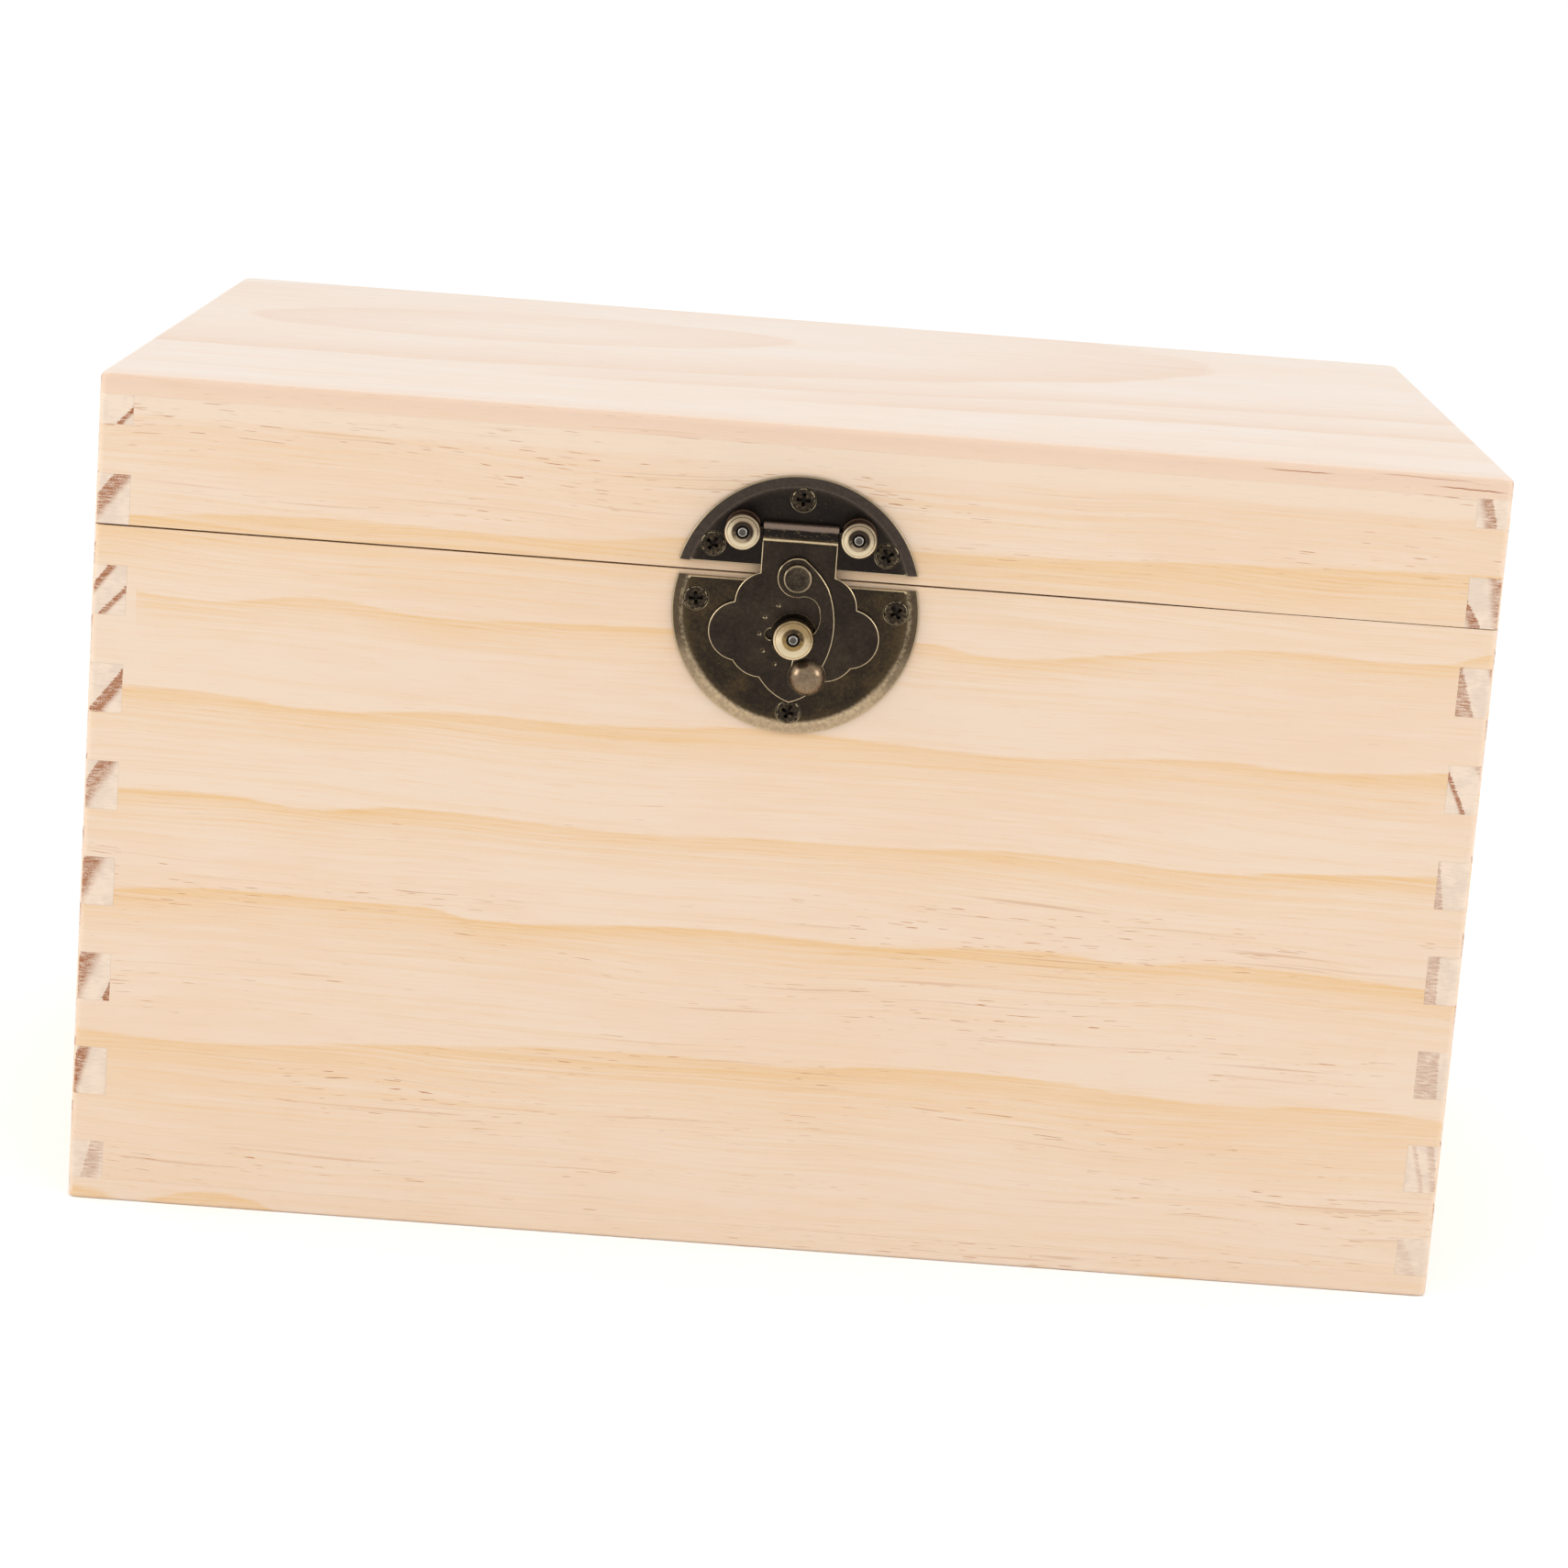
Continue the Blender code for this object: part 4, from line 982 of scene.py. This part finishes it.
def rod(start, end, radius_start, radius_end=None, sides=ROD_SIDES):
    """A closed cylinder from start to end, or part of a cone."""
    bm = bmesh.new()
    start, end = Vector(start), Vector(end)
    run = end - start
    bmesh.ops.create_cone(
        bm,
        cap_ends=True,
        segments=sides,
        radius1=radius_start,
        radius2=radius_start if radius_end is None else radius_end,
        depth=run.length,
        matrix=Matrix.LocRotScale((start + end) / 2, run.to_track_quat("Z", "Y"), None),
    )
    return finish_mesh(bm)


def quarter(steps):
    """Turns from nothing to a quarter, in even steps."""
    return [pi / 2 * step / steps for step in range(steps + 1)]


def arc(centre, reach, start, end):
    """Points along an arc, with its end left out."""
    steps = max(2, ceil(abs(end - start) / ARC_STEP))
    turns = [start + (end - start) * step / steps for step in range(steps)]
    return [(centre[0] + reach * cos(turn), centre[1] + reach * sin(turn)) for turn in turns]


def circle(centre, reach):
    """Points round a circle."""
    return arc(centre, reach, 0, 2 * pi)


def bulge(start, end, height):
    """Points of an arc from start that bulges to the left of the way to end, which is left out."""
    start, end = Vector(start), Vector(end)
    run = end - start
    if abs(height) < 0.001 * MM:
        return [tuple(start)]
    reach = run.length**2 / (8 * abs(height)) + abs(height) / 2
    half = asin(min(1, run.length / (2 * reach)))
    if abs(height) > run.length / 2:
        half = pi - half
    left = Vector((-run.y, run.x)).normalized() * (1 if height > 0 else -1)
    centre = (start + end) / 2 + left * (abs(height) - reach)
    middle = atan2(left.y, left.x)
    sweep = half if height > 0 else -half
    return arc(centre, reach, middle + sweep, middle - sweep)


def sheet(outline, holes, back, front, edge=EDGE):
    """A flat sheet with holes and rounded edges, between two levels."""
    curve = bpy.data.curves.new("sheet", "CURVE")
    curve.dimensions = "2D"
    curve.fill_mode = "BOTH"
    curve.extrude = (front - back) / 2 - edge
    curve.bevel_depth = edge
    curve.bevel_resolution = 2
    curve.offset = -edge
    for ring in (outline, *[list(reversed(hole)) for hole in holes]):
        spline = curve.splines.new("POLY")
        spline.points.add(len(ring) - 1)
        for point, (x, y) in zip(spline.points, ring):
            point.co = (x, y, 0, 1)
        spline.use_cyclic_u = True
    bm = bmesh.new()
    bm.from_mesh(evaluated_mesh(linked("sheet", curve)))
    bmesh.ops.remove_doubles(bm, verts=bm.verts, dist=0.002 * MM)
    bmesh.ops.translate(bm, verts=bm.verts, vec=(0, 0, (back + front) / 2))
    return finish_mesh(bm)


# Wood


def finger_steps(low, high, first):
    """Heights at which the owner of a corner changes, from low to high."""
    steps = [low]
    step = first
    while step < high - FINGER / 20:
        steps.append(step)
        step += FINGER
    return steps + [high]


def board_outline(half, low, high, steps, owner):
    """The outline of a board with fingers at both ends. The owner says which of the steps it has."""
    right = []
    for index, (start, end) in enumerate(zip(steps, steps[1:])):
        own = index % 2 == owner
        reach = half if own else half - BOARD - GLUE
        bottom = start if index == 0 else start + (GLUE / 2 if own else -GLUE / 2)
        top = end if index == len(steps) - 2 else end + (-GLUE / 2 if own else GLUE / 2)
        right += [(reach, bottom), (reach, top)]
    return right + [(-x, y) for x, y in reversed(right)]


def board(along_y, side, low, high, steps):
    """A frame board, with the outer corners of its fingers rounded."""
    half, face = (HALF_DEPTH, HALF_WIDTH) if along_y else (HALF_WIDTH, HALF_DEPTH)
    outline = board_outline(half, low, high, steps, 0 if along_y else 1)
    axes = (1, 2, 0) if along_y else (0, 2, 1)
    bm = extruded(outline, side * (face - BOARD), side * face, axes)

    def at_corner(vertex):
        return abs(abs(vertex.co[axes[0]]) - half) < GLUE and abs(vertex.co[axes[2]] - side * face) < GLUE

    outer = [
        edge
        for edge in bm.edges
        if all(at_corner(vertex) for vertex in edge.verts)
        and abs(edge.verts[0].co.z - edge.verts[1].co.z) > GLUE
    ]
    bmesh.ops.bevel(bm, geom=outer, offset=CORNER_ROUND, segments=7, profile=0.5, affect="EDGES")
    return finish_mesh(bm)


def rounded_rectangle(half_x, half_y, corner, steps=8):
    """Points round a rectangle with round corners, the same number whatever its size."""
    points = []
    for quarter_number, (x, y) in enumerate(SQUARE):
        centre = (x * (half_x - corner), y * (half_y - corner))
        for step in range(steps + 1):
            turn = pi / 2 * (quarter_number + step / steps)
            points.append((centre[0] + corner * cos(turn), centre[1] + corner * sin(turn)))
    return points


def panel(low, high, top_round, base_round):
    """A panel with round corners, and its top and bottom edges rounded over."""
    profile = []
    for reach, level, way in ((base_round, low, 1), (top_round, high, -1)):
        edge = [(reach * (1 - sin(t)), level + way * reach * (1 - cos(t))) for t in quarter(8)]
        profile += edge[::way]
    layers = []
    for inset, height in profile:
        corner = CORNER_ROUND + inset * CORNER_GROWTH
        layers.append((rounded_rectangle(HALF_WIDTH - inset, HALF_DEPTH - inset, corner), height))
    return lofted(layers)


def narrow_seam(mesh):
    """Lowers the lid's seam edge a little, and more on the right, where the seam is thinner."""
    bm = bmesh.new()
    bm.from_mesh(mesh)
    for x in SEAM_NARROWS:
        geometry = [*bm.verts, *bm.edges, *bm.faces]
        bmesh.ops.bisect_plane(bm, geom=geometry, dist=0.001 * MM, plane_co=(x, 0, 0), plane_no=(1, 0, 0))
    start, end = SEAM_NARROWS
    for vertex in bm.verts:
        if vertex.co.z < LID_BASE + GLUE:
            share = min(1, max(0, (vertex.co.x - start) / (end - start)))
            vertex.co.z -= SEAM_DROP[0] + (SEAM_DROP[1] - SEAM_DROP[0]) * share
    bm.to_mesh(mesh)
    bm.free()


def wood_materials():
    """The pine of each board and panel, by its side of the box."""
    lit_top_colours = (LIT_TOP_EARLY, LIT_TOP_PALE, LIT_TOP_LATE)
    left_ends, right_ends = (-1, LEFT_RINGS, LEFT_RINGS_TWO), (1, RIGHT_RINGS, RIGHT_RINGS_TWO)
    across_x, across_y, flat = (0, 2, 1), (1, 2, 0), (0, 1, 2)
    return {
        "front": pine("pine_front", across_x, 1.0, "lines"),
        "back": pine("pine_back", across_x, 21.0, "rings", 0.35, 17),
        "left": pine("pine_left", across_y, 43.0, "rings", -0.785, 14.14, tables=left_ends),
        "right": pine("pine_right", across_y, 64.0, "rings", 1.3, 7.5, tables=right_ends),
        "top": pine("pine_top", flat, 80.0, "loops", resin=0.35, lit_top_colours=lit_top_colours, end_lean=FLAT_SAWN),
        "bottom": pine("pine_bottom", flat, 95.0, "rings", 0.5, 19, end_lean=FLAT_SAWN),
    }


def build_wood():
    """The ten boards and panels."""
    materials = wood_materials()
    frames = (
        ("base", "body", BASE_TOP + GLUE, BODY_TOP, BASE_TOP + FIRST_FINGER),
        ("lid", "lid", LID_BASE, LID_FRAME_TOP - GLUE / 4, LID_BASE + LID_FIRST_FINGER),
    )
    for body, prefix, low, high, first in frames:
        steps = finger_steps(low, high, first)
        for end, along_y, side in (("front", 0, -1), ("back", 0, 1), ("left", 1, -1), ("right", 1, 1)):
            mesh = board(along_y, side, low, high, steps)
            if body == "lid":
                narrow_seam(mesh)
            piece(f"{prefix}_{end}_board", mesh, materials[end], "pine", body)
    bottom = panel(0, BASE_TOP, JOINT_EASE, BASE_EASE)
    piece("bottom_panel", bottom, materials["bottom"], "pine", "base")
    top = panel(LID_FRAME_TOP, CASE_TOP, TOP_ROUND, JOINT_EASE)
    piece("lid_panel", top, materials["top"], "pine", "lid")


# Latch


def segment_ring(reach, chord, upper):
    """Points round the part of a disc above or below a chord, the same number for every reach."""
    end = asin(chord / reach)
    start, stop = (end, pi - end) if upper else (pi - end, 2 * pi + end)
    turns = [start + (stop - start) * step / PLATE_SIDES for step in range(PLATE_SIDES + 1)]
    return [(reach * cos(t), reach * sin(t)) for t in turns]


def rim_profile(reach, back, front):
    """The plate's rim as (radius, height): a straight lip, a bevel, and a low crest inside it."""
    lip = back + RIM_LIP
    slope = (front - lip - RIM_CREST) / (RIM_BEVEL - LIP_ROUND)
    profile = [(reach, back)]
    profile += [(reach - LIP_ROUND * (1 - cos(t)), lip - LIP_ROUND * (1 - sin(t))) for t in quarter(4)]
    for step in range(1, 4):
        inset = LIP_ROUND + (RIM_BEVEL - LIP_ROUND) * step / 3
        profile.append((reach - inset, lip + slope * (inset - LIP_ROUND)))
    for share in CREST_SHARES:
        rise = front - RIM_CREST * (1 - share) ** 2
        profile.append((reach - RIM_BEVEL - (RIM - RIM_BEVEL) * share, rise))
    return profile


def plate_mesh(reach, chord, upper, back, front):
    """One half of the latch's disc, with a bevelled rim and an eased edge along its chord."""
    layers = []
    for ring_reach, height in rim_profile(reach, back, front):
        drop = max(0, CHORD_EASE - (front - height))
        ease = CHORD_EASE - (CHORD_EASE**2 - drop**2) ** 0.5
        layers.append((segment_ring(ring_reach, chord + (ease if upper else -ease), upper), height))
    return lofted(layers)


def latch_plate(node, body, screws, centre, chord, material):
    """One half of the disc, with sinks for its screws."""
    back, front = levels(node)
    upper = body == "lid"
    mesh = plate_mesh(radius("latch_lower_plate"), chord - centre.y, upper, back, front)
    mesh.transform(Matrix.Translation((centre.x, centre.y, 0)))
    sinks = []
    for screw in screws:
        x, y = spot(screw)
        head = radius(screw) + SINK
        slope = (head - SCREW_SHANK_R) / SCREW_HEAD_DEPTH
        foot = (x, y, front - SCREW_HEAD_DEPTH)
        sinks.append(rod(foot, (x, y, front + CUT_OVER), SCREW_SHANK_R, head + slope * CUT_OVER))
    mesh = combined(mesh, sinks, "DIFFERENCE")
    piece(node, mesh, material, "dark_bronze", body, latch_matrix)


def build_plates():
    """The two halves of the latch's disc, which has one radius and two middles."""
    reach = radius("latch_lower_plate")
    bevel = reach - RIM_BEVEL - RIM_EASE
    low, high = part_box("latch_upper_plate")
    upper_centre, upper_chord = Vector((0, high.z - reach)), low.z
    low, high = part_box("latch_lower_plate")
    lower_centre, lower_chord = Vector((0, low.z + reach)), high.z
    upper_rim = (upper_centre, upper_chord, bevel, reach, RIM_BROWN, RIM_BROWN, 0)
    lower_rim = (lower_centre, lower_chord, bevel, reach, RIM_BRASS, RIM_LIT_BRASS, 0.3)
    upper_metal = metal("upper_plate_bronze", 2.0, dark=BLACK_BRONZE, warm=UPPER_BRONZE, rim=upper_rim)
    lower_metal = metal("lower_plate_bronze", 5.0, warm=OLIVE_BRONZE, rim=lower_rim)
    latch_plate("latch_upper_plate", "lid", LATCH_SCREWS[:3], upper_centre, upper_chord, upper_metal)
    latch_plate("latch_lower_plate", "base", LATCH_SCREWS[3:], lower_centre, lower_chord, lower_metal)


def screw_mesh(head_r):
    """A cross-head screw with a slightly domed head, its rim's face at height 0."""
    top = [(head_r * sin(t) * DOME_SHARE, SCREW_DOME * cos(t)) for t in quarter(6)]
    profile = [(0, SCREW_DOME), *top[1:], (head_r, -SCREW_RIM_DROP), (SCREW_SHANK_R, -SCREW_HEAD_DEPTH)]
    mesh = turned([*profile, (SCREW_SHANK_R, -SCREW_LENGTH), (0, -SCREW_LENGTH)], SCREW_SIDES)
    slots = []
    for length, width in ((RECESS_LENGTH, RECESS_WIDTH), (RECESS_WIDTH, RECESS_LENGTH)):
        slots.append(lofted(
            ([(length / 2 * share * x, width / 2 * (share + 1) / 2 * y) for x, y in SQUARE], height)
            for height, share in ((-RECESS_DEPTH, RECESS_FOOT), (SCREW_DOME + SINK, RECESS_MOUTH))
        ))
    return combined(mesh, slots, "DIFFERENCE")


def round_profile(points, edge):
    """The points, with each one that is marked as rounded swapped for a small quarter round."""
    result = []
    for index, (x, y, rounded) in enumerate(points):
        here = Vector((x, y))
        if not rounded:
            result.append((x, y))
            continue
        before = Vector(points[index - 1][:2]) - here
        after = Vector(points[index + 1][:2]) - here
        start = here + before.normalized() * min(edge, before.length / 2)
        end = here + after.normalized() * min(edge, after.length / 2)
        for step in range(5):
            share = step / 4
            point = start.lerp(here, share).lerp(here.lerp(end, share), share)
            result.append((point.x, point.y))
    return result


def post_mesh(node, neck_r, foot_r, foot, cap):
    """A turned post with a foot, a neck and a dished cap, and a bore for its rivet."""
    back, front = levels(node)
    cap_r, bore = radius(node), radius("keeper_rivet") + SINK
    cap_back, foot_front, dish = front - cap, back + foot, front - POST_DISH
    points = [
        (bore, dish, False),
        (bore + DISH_FLAT, dish, False),
        *[(cap_r - inset, front - POST_DISH * share, False) for inset, share in DISH_STEPS],
        (cap_r - CAP_CREST, front, True),
        (cap_r, front - CAP_DROP, True),
        (cap_r, cap_back, True),
        (neck_r, cap_back, False),
        (neck_r, foot_front, False),
        (foot_r, foot_front, True),
        (foot_r, back, False),
        (bore, back, False),
    ]
    profile = round_profile(points, POST_EDGE)
    return turned([*profile, profile[0]])


def rivet_mesh(reach, back, front):
    """A rivet with a rounded rim and a small hollow in its end."""
    rim_r = reach * (1 - RIVET_CREST)
    rim = [(reach - rim_r * (1 - sin(t)), front - rim_r * (1 - cos(t))) for t in quarter(6)]
    hollow_r = reach * RIVET_HOLLOW_SHARE
    hollow = [(0, front - RIVET_HOLLOW), (hollow_r, front - RIVET_HOLLOW * RIVET_HOLLOW_RISE)]
    return turned([*hollow, *rim, (reach, back), (0, back)], RIVET_SIDES)


def place_turned(node, mesh, material, slot, body):
    """Puts a piece that was made about its own axis where its node is."""
    x, y = spot(node)
    piece(node, mesh, material, slot, body, latch_matrix @ Matrix.Translation((x, y, 0)))


def build_posts():
    """The three turned posts and their rivets."""
    post_brass = turned_brass("post_brass", 4.0, 0.6, CAP_BRASS, levels("latch_post_left")[1])
    keeper_brass = turned_brass("keeper_brass", 9.0, 0.3, KEEPER_BRASS, levels("keeper_post")[1])
    rivet_grey = rivet_metal("rivet_grey")
    post_shape = (POST_NECK_R, radius("latch_post_left"), POST_FOOT, POST_CAP)
    keeper_shape = (KEEPER_NECK_R, KEEPER_FOOT_R, KEEPER_FOOT, KEEPER_CAP)
    for node, rivet, body, brass, shape in (
        ("latch_post_left", "latch_post_rivet_left", "lid", post_brass, post_shape),
        ("latch_post_right", "latch_post_rivet_right", "lid", post_brass, post_shape),
        ("keeper_post", "keeper_rivet", "base", keeper_brass, keeper_shape),
    ):
        place_turned(node, post_mesh(node, *shape), brass, "aged_brass", body)
        rivet_shape = rivet_mesh(radius("keeper_rivet"), *levels(rivet))
        place_turned(rivet, rivet_shape, rivet_grey, "aged_brass", body)


def pin_axis():
    """The height of the hasp's pin, how far it stands off the wood, and its radius."""
    low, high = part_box("hasp_pin")
    return spot("hasp_pin").y, sum(levels("hasp_pin")) / 2, (high.z - low.z) / 2


def build_pin():
    """The pin that the hasp turns on."""
    low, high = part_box("hasp_pin")
    height, level, pin_r = pin_axis()
    mesh = rod((low.x, height, level), (high.x, height, level), pin_r, sides=RIVET_SIDES)
    piece("hasp_pin", mesh, metal("pin_bronze", 37.0, wear=0), "aged_brass", "lid", latch_matrix)


def hasp_outline(pin_height, keeper):
    """The hasp from its pin down: a straight neck, then the cloud's lobes, the same on both sides."""
    half_neck = NECK_WIDTH / 2
    corners = [((half_neck, pin_height), 0), ((half_neck, pin_height - NECK_SHOULDER_DROP), 0)]
    for (x_share, y_share), swell in CLOUD_CORNER_SHARES:
        corner = (x_share * CLOUD_HALF_WIDTH, keeper.y + y_share * CLOUD_HALF_WIDTH)
        corners.append((corner, swell * CLOUD_HALF_WIDTH))
    right = []
    for (start, _), (end, swell) in zip(corners, corners[1:]):
        right += bulge(start, end, swell)
    return right + [corners[-1][0]] + [(-x, y) for x, y in reversed(right)]


def keeper_hole(centre):
    """A round hole with a small round notch on its left."""
    reach = radius("keeper_post") + KEEPER_PASS
    half = 2 * asin(NOTCH_R / (2 * reach))
    ring = arc(centre, reach, half - pi, pi - half)
    return ring + arc((centre[0] - reach, centre[1]), NOTCH_R, pi / 2, 3 * pi / 2)


def hasp_barrel(pin_height, pin_level, front):
    """The barrel that the hasp's sheet is rolled into, and the fold under it."""
    half_neck = NECK_WIDTH / 2
    ends = [
        (0, -half_neck, False),
        (KNUCKLE_R, -half_neck, True),
        (KNUCKLE_R, half_neck, True),
        (0, half_neck, False),
    ]
    barrel = turned(list(reversed(round_profile(ends, BARREL_EASE))))
    barrel.transform(Matrix.Translation((0, pin_height, pin_level)) @ Matrix.Rotation(pi / 2, 4, "Y"))
    level, height = front + FOLD_R * FOLD_SINK, pin_height - KNUCKLE_R - FOLD_R * FOLD_SINK
    half = half_neck - FOLD_INSET
    return barrel, rod((-half, height, level), (half, height, level), FOLD_R)


def build_hasp():
    """The hasp: a cloud-shaped sheet rolled over its pin, with a fan of punched dots."""
    keeper, rivet = spot("keeper_post"), spot("hook_rivet")
    height, level, pin_r = pin_axis()
    back = levels("hasp_plate")[0]
    front = back + HASP_SHEET
    metals = [metal("hasp_bronze", 1.0, dots=keeper), knuckle_metal("knuckle_bronze", height)]
    holes = [keeper_hole(keeper), circle(rivet, SCREW_SHANK_R + SINK)]
    mesh = paint(sheet(hasp_outline(height, keeper), holes, back, front), metals)
    rolled = [paint(part, metals, 1) for part in hasp_barrel(height, level, front)]
    mesh = combined(mesh, rolled, "UNION")
    far = NECK_WIDTH / 2 + CUT_OVER
    cuts = [rod((-far, height, level), (far, height, level), pin_r + SINK)]
    for turn in DOT_ANGLES:
        x, y = keeper.x + DOT_RING_R * cos(turn), keeper.y + DOT_RING_R * sin(turn)
        start, end = (x, y, front - DOT_DEPTH), (x, y, front + DOT_DEPTH)
        cuts.append(rod(start, end, DOT_FOOT_R, DOT_OVER_R, DOT_SIDES))
    mesh = combined(mesh, cuts, "DIFFERENCE")
    piece("hasp_plate", mesh, None, "dark_bronze", "hasp", latch_matrix)


def hook_outline(rivet, keeper):
    """The hook's outline and its ball's middle, clockwise from the round head on its rivet."""

    def about(centre, reach, turn):
        return centre + reach * Vector((cos(turn), sin(turn)))

    neck_r = KEEPER_NECK_R + HOOK_NECK_PLAY
    ball = about(keeper, radius("keeper_post") + BALL_GAP + BALL_R, BALL_TURN - pi / 2)
    shoulder = rivet + Vector((ARM_SHOULDER_OUT, -ARM_SHOULDER_DROP))
    crook = rivet + Vector((CROOK_OUT, -CROOK_DROP))
    outline = arc(rivet, HOOK_HEAD_R, HEAD_FOOT_TURN, HEAD_TOP_TURN - 2 * pi)
    outline += bulge(about(rivet, HOOK_HEAD_R, HEAD_TOP_TURN), shoulder, HEAD_SWELL)
    outline += bulge(shoulder, about(ball, BALL_R, ARM_END_TURN), ARM_SWELL)
    outline += arc(ball, BALL_R, ARM_END_TURN, BALL_BACK_TURN)
    outline += arc(keeper, neck_r, HUG_START, HUG_END)
    outline += bulge(about(keeper, neck_r, HUG_END), crook, -CROOK_SWELL)
    outline += bulge(crook, about(rivet, HOOK_HEAD_R, HEAD_FOOT_TURN), -CROOK_SWELL)
    return list(reversed(outline)), ball


def build_hook():
    """The hook: a flat arm with a round head, and a domed ball end."""
    rivet, keeper = spot("hook_rivet"), spot("keeper_post")
    back = levels("hook")[0]
    outline, ball = hook_outline(rivet, keeper)
    metals = [metal("hook_bronze", 11.0, 0.28, wear=0.8), ball_metal("ball_bronze", ball)]
    hole = circle(rivet, SCREW_SHANK_R + SINK)
    mesh = paint(sheet(outline, [hole], back, back + HOOK_SHEET, HOOK_EDGE), metals)
    profile = [(BALL_R * sin(t), back + BALL_RISE * cos(t)) for t in quarter(16)]
    dome = turned([*profile, (BALL_R, back), (0, back)])
    dome.transform(Matrix.Translation((ball.x, ball.y, 0)))
    mesh = combined(mesh, [paint(dome, metals, 1)], "UNION")
    piece("hook", mesh, None, "dark_bronze", "hook", latch_matrix)


def build_hook_rivet():
    """The rivet that the hook turns on, with a wide head that is a little hollow."""
    back, front = levels("hook_rivet")
    head_r = radius("hook_rivet")
    head = front - HOOK_RIVET_HEAD
    points = [
        (0, front - HOOK_RIVET_HOLLOW, False),
        (head_r * HOOK_RIVET_CREST, front, False),
        (head_r, front - HOOK_RIVET_DROP, True),
        (head_r, head, False),
        (SCREW_SHANK_R, head, False),
        (SCREW_SHANK_R, back, False),
        (0, back, False),
    ]
    rivet_bronze = metal("rivet_bronze", 29.0, warm=RIVET_WARM, wear=0.5)
    mesh = turned(round_profile(points, HOOK_RIVET_EDGE))
    place_turned("hook_rivet", mesh, rivet_bronze, "dark_bronze", "hasp")


def build_screws(material):
    """The three screws of each plate, each turned in its own way."""
    screw = screw_mesh(radius(LATCH_SCREWS[0]))
    front = levels("latch_upper_plate")[1]
    for number, node in enumerate(LATCH_SCREWS):
        x, y = spot(node)
        turn = Matrix.Rotation(SCREW_TURN + number * SCREW_TURN_STEP, 4, "Z")
        matrix = latch_matrix @ Matrix.Translation((x, y, front)) @ turn
        piece(node, screw.copy(), material, "screw_steel", "lid" if number < 3 else "base", matrix)


def dress_hinges(screw_steel):
    """Gives the hinges and their screws their finish."""
    hinge_bronze = metal("hinge_bronze", 17.0, wear=0.3, front=1)
    for node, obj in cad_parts.items():
        if node.startswith("hinge"):
            is_screw = "screw" in node
            obj.data.materials.clear()
            obj.data.materials.append(screw_steel if is_screw else hinge_bronze)


# Stage


def build_floor():
    """A plain pale floor, far wider than the view."""
    bm = bmesh.new()
    bmesh.ops.create_grid(bm, x_segments=1, y_segments=1, size=FLOOR_HALF)
    floor = linked("floor", finish_mesh(bm))
    graph = Graph("floor_paint")
    graph.set("Base Color", FLOOR_COLOUR)
    graph.set("Roughness", 0.7)
    graph.set("Specular IOR Level", 0.2)
    floor.data.materials.append(graph.material)


def build_light():
    """A soft dome of light, a little brighter above, and a large soft light at each side."""
    world = bpy.data.worlds.new("studio")
    bpy.context.scene.world = world
    world.use_nodes = True
    tree = world.node_tree
    background = tree.nodes["Background"]
    coordinates = tree.nodes.new("ShaderNodeTexCoord")
    split = tree.nodes.new("ShaderNodeSeparateXYZ")
    dome = tree.nodes.new("ShaderNodeMapRange")
    dome.interpolation_type = "SMOOTHSTEP"
    for name, value in zip(("From Min", "From Max", "To Min", "To Max"), (*DOME_HEIGHTS, *DOME_STRENGTHS)):
        dome.inputs[name].default_value = value
    tree.links.new(coordinates.outputs["Generated"], split.inputs[0])
    tree.links.new(split.outputs[2], dome.inputs["Value"])
    tree.links.new(dome.outputs[0], background.inputs["Strength"])
    background.inputs["Color"].default_value = (1, 1, 1, 1)

    for name, place in SOFTBOX_PLACES.items():
        light = bpy.data.lights.new(name, "AREA")
        light.shape = "RECTANGLE"
        light.size, light.size_y = SOFTBOX_SIZE
        light.energy = SOFTBOX_POWER
        lamp = linked(name, light)
        lamp.location = place
        lamp.rotation_mode = "QUATERNION"
        lamp.rotation_quaternion = (SOFTBOX_AIM - lamp.location).to_track_quat("-Z", "Y")
    bpy.context.scene.view_settings.view_transform = "Standard"


def build_camera():
    """The camera that was fitted to the photograph."""
    data = bpy.data.cameras.new("camera")
    data.sensor_width = SENSOR
    data.lens = FOCAL_PIXELS / PHOTO_SIDE * SENSOR
    data.shift_x = 0.5 - PHOTO_MIDDLE[0] / PHOTO_SIDE
    data.shift_y = PHOTO_MIDDLE[1] / PHOTO_SIDE - 0.5
    ahead = Vector((
        sin(CAMERA_YAW) * cos(CAMERA_PITCH),
        cos(CAMERA_YAW) * cos(CAMERA_PITCH),
        -sin(CAMERA_PITCH),
    ))
    level = Vector((cos(CAMERA_YAW), -sin(CAMERA_YAW), 0))
    down = ahead.cross(level)
    right = cos(CAMERA_ROLL) * level + sin(CAMERA_ROLL) * down
    down = cos(CAMERA_ROLL) * down - sin(CAMERA_ROLL) * level
    matrix = Matrix((right, -down, -ahead)).transposed().to_4x4()
    matrix.translation = CAMERA_PLACE
    camera = linked("camera", data)
    camera.matrix_world = matrix
    bpy.context.scene.camera = camera


build_camera()
build_floor()
build_light()
build_wood()
build_plates()
build_posts()
build_pin()
build_hasp()
build_hook()
build_hook_rivet()
screw_steel = screw_metal("screw_bronze")
build_screws(screw_steel)
dress_hinges(screw_steel)
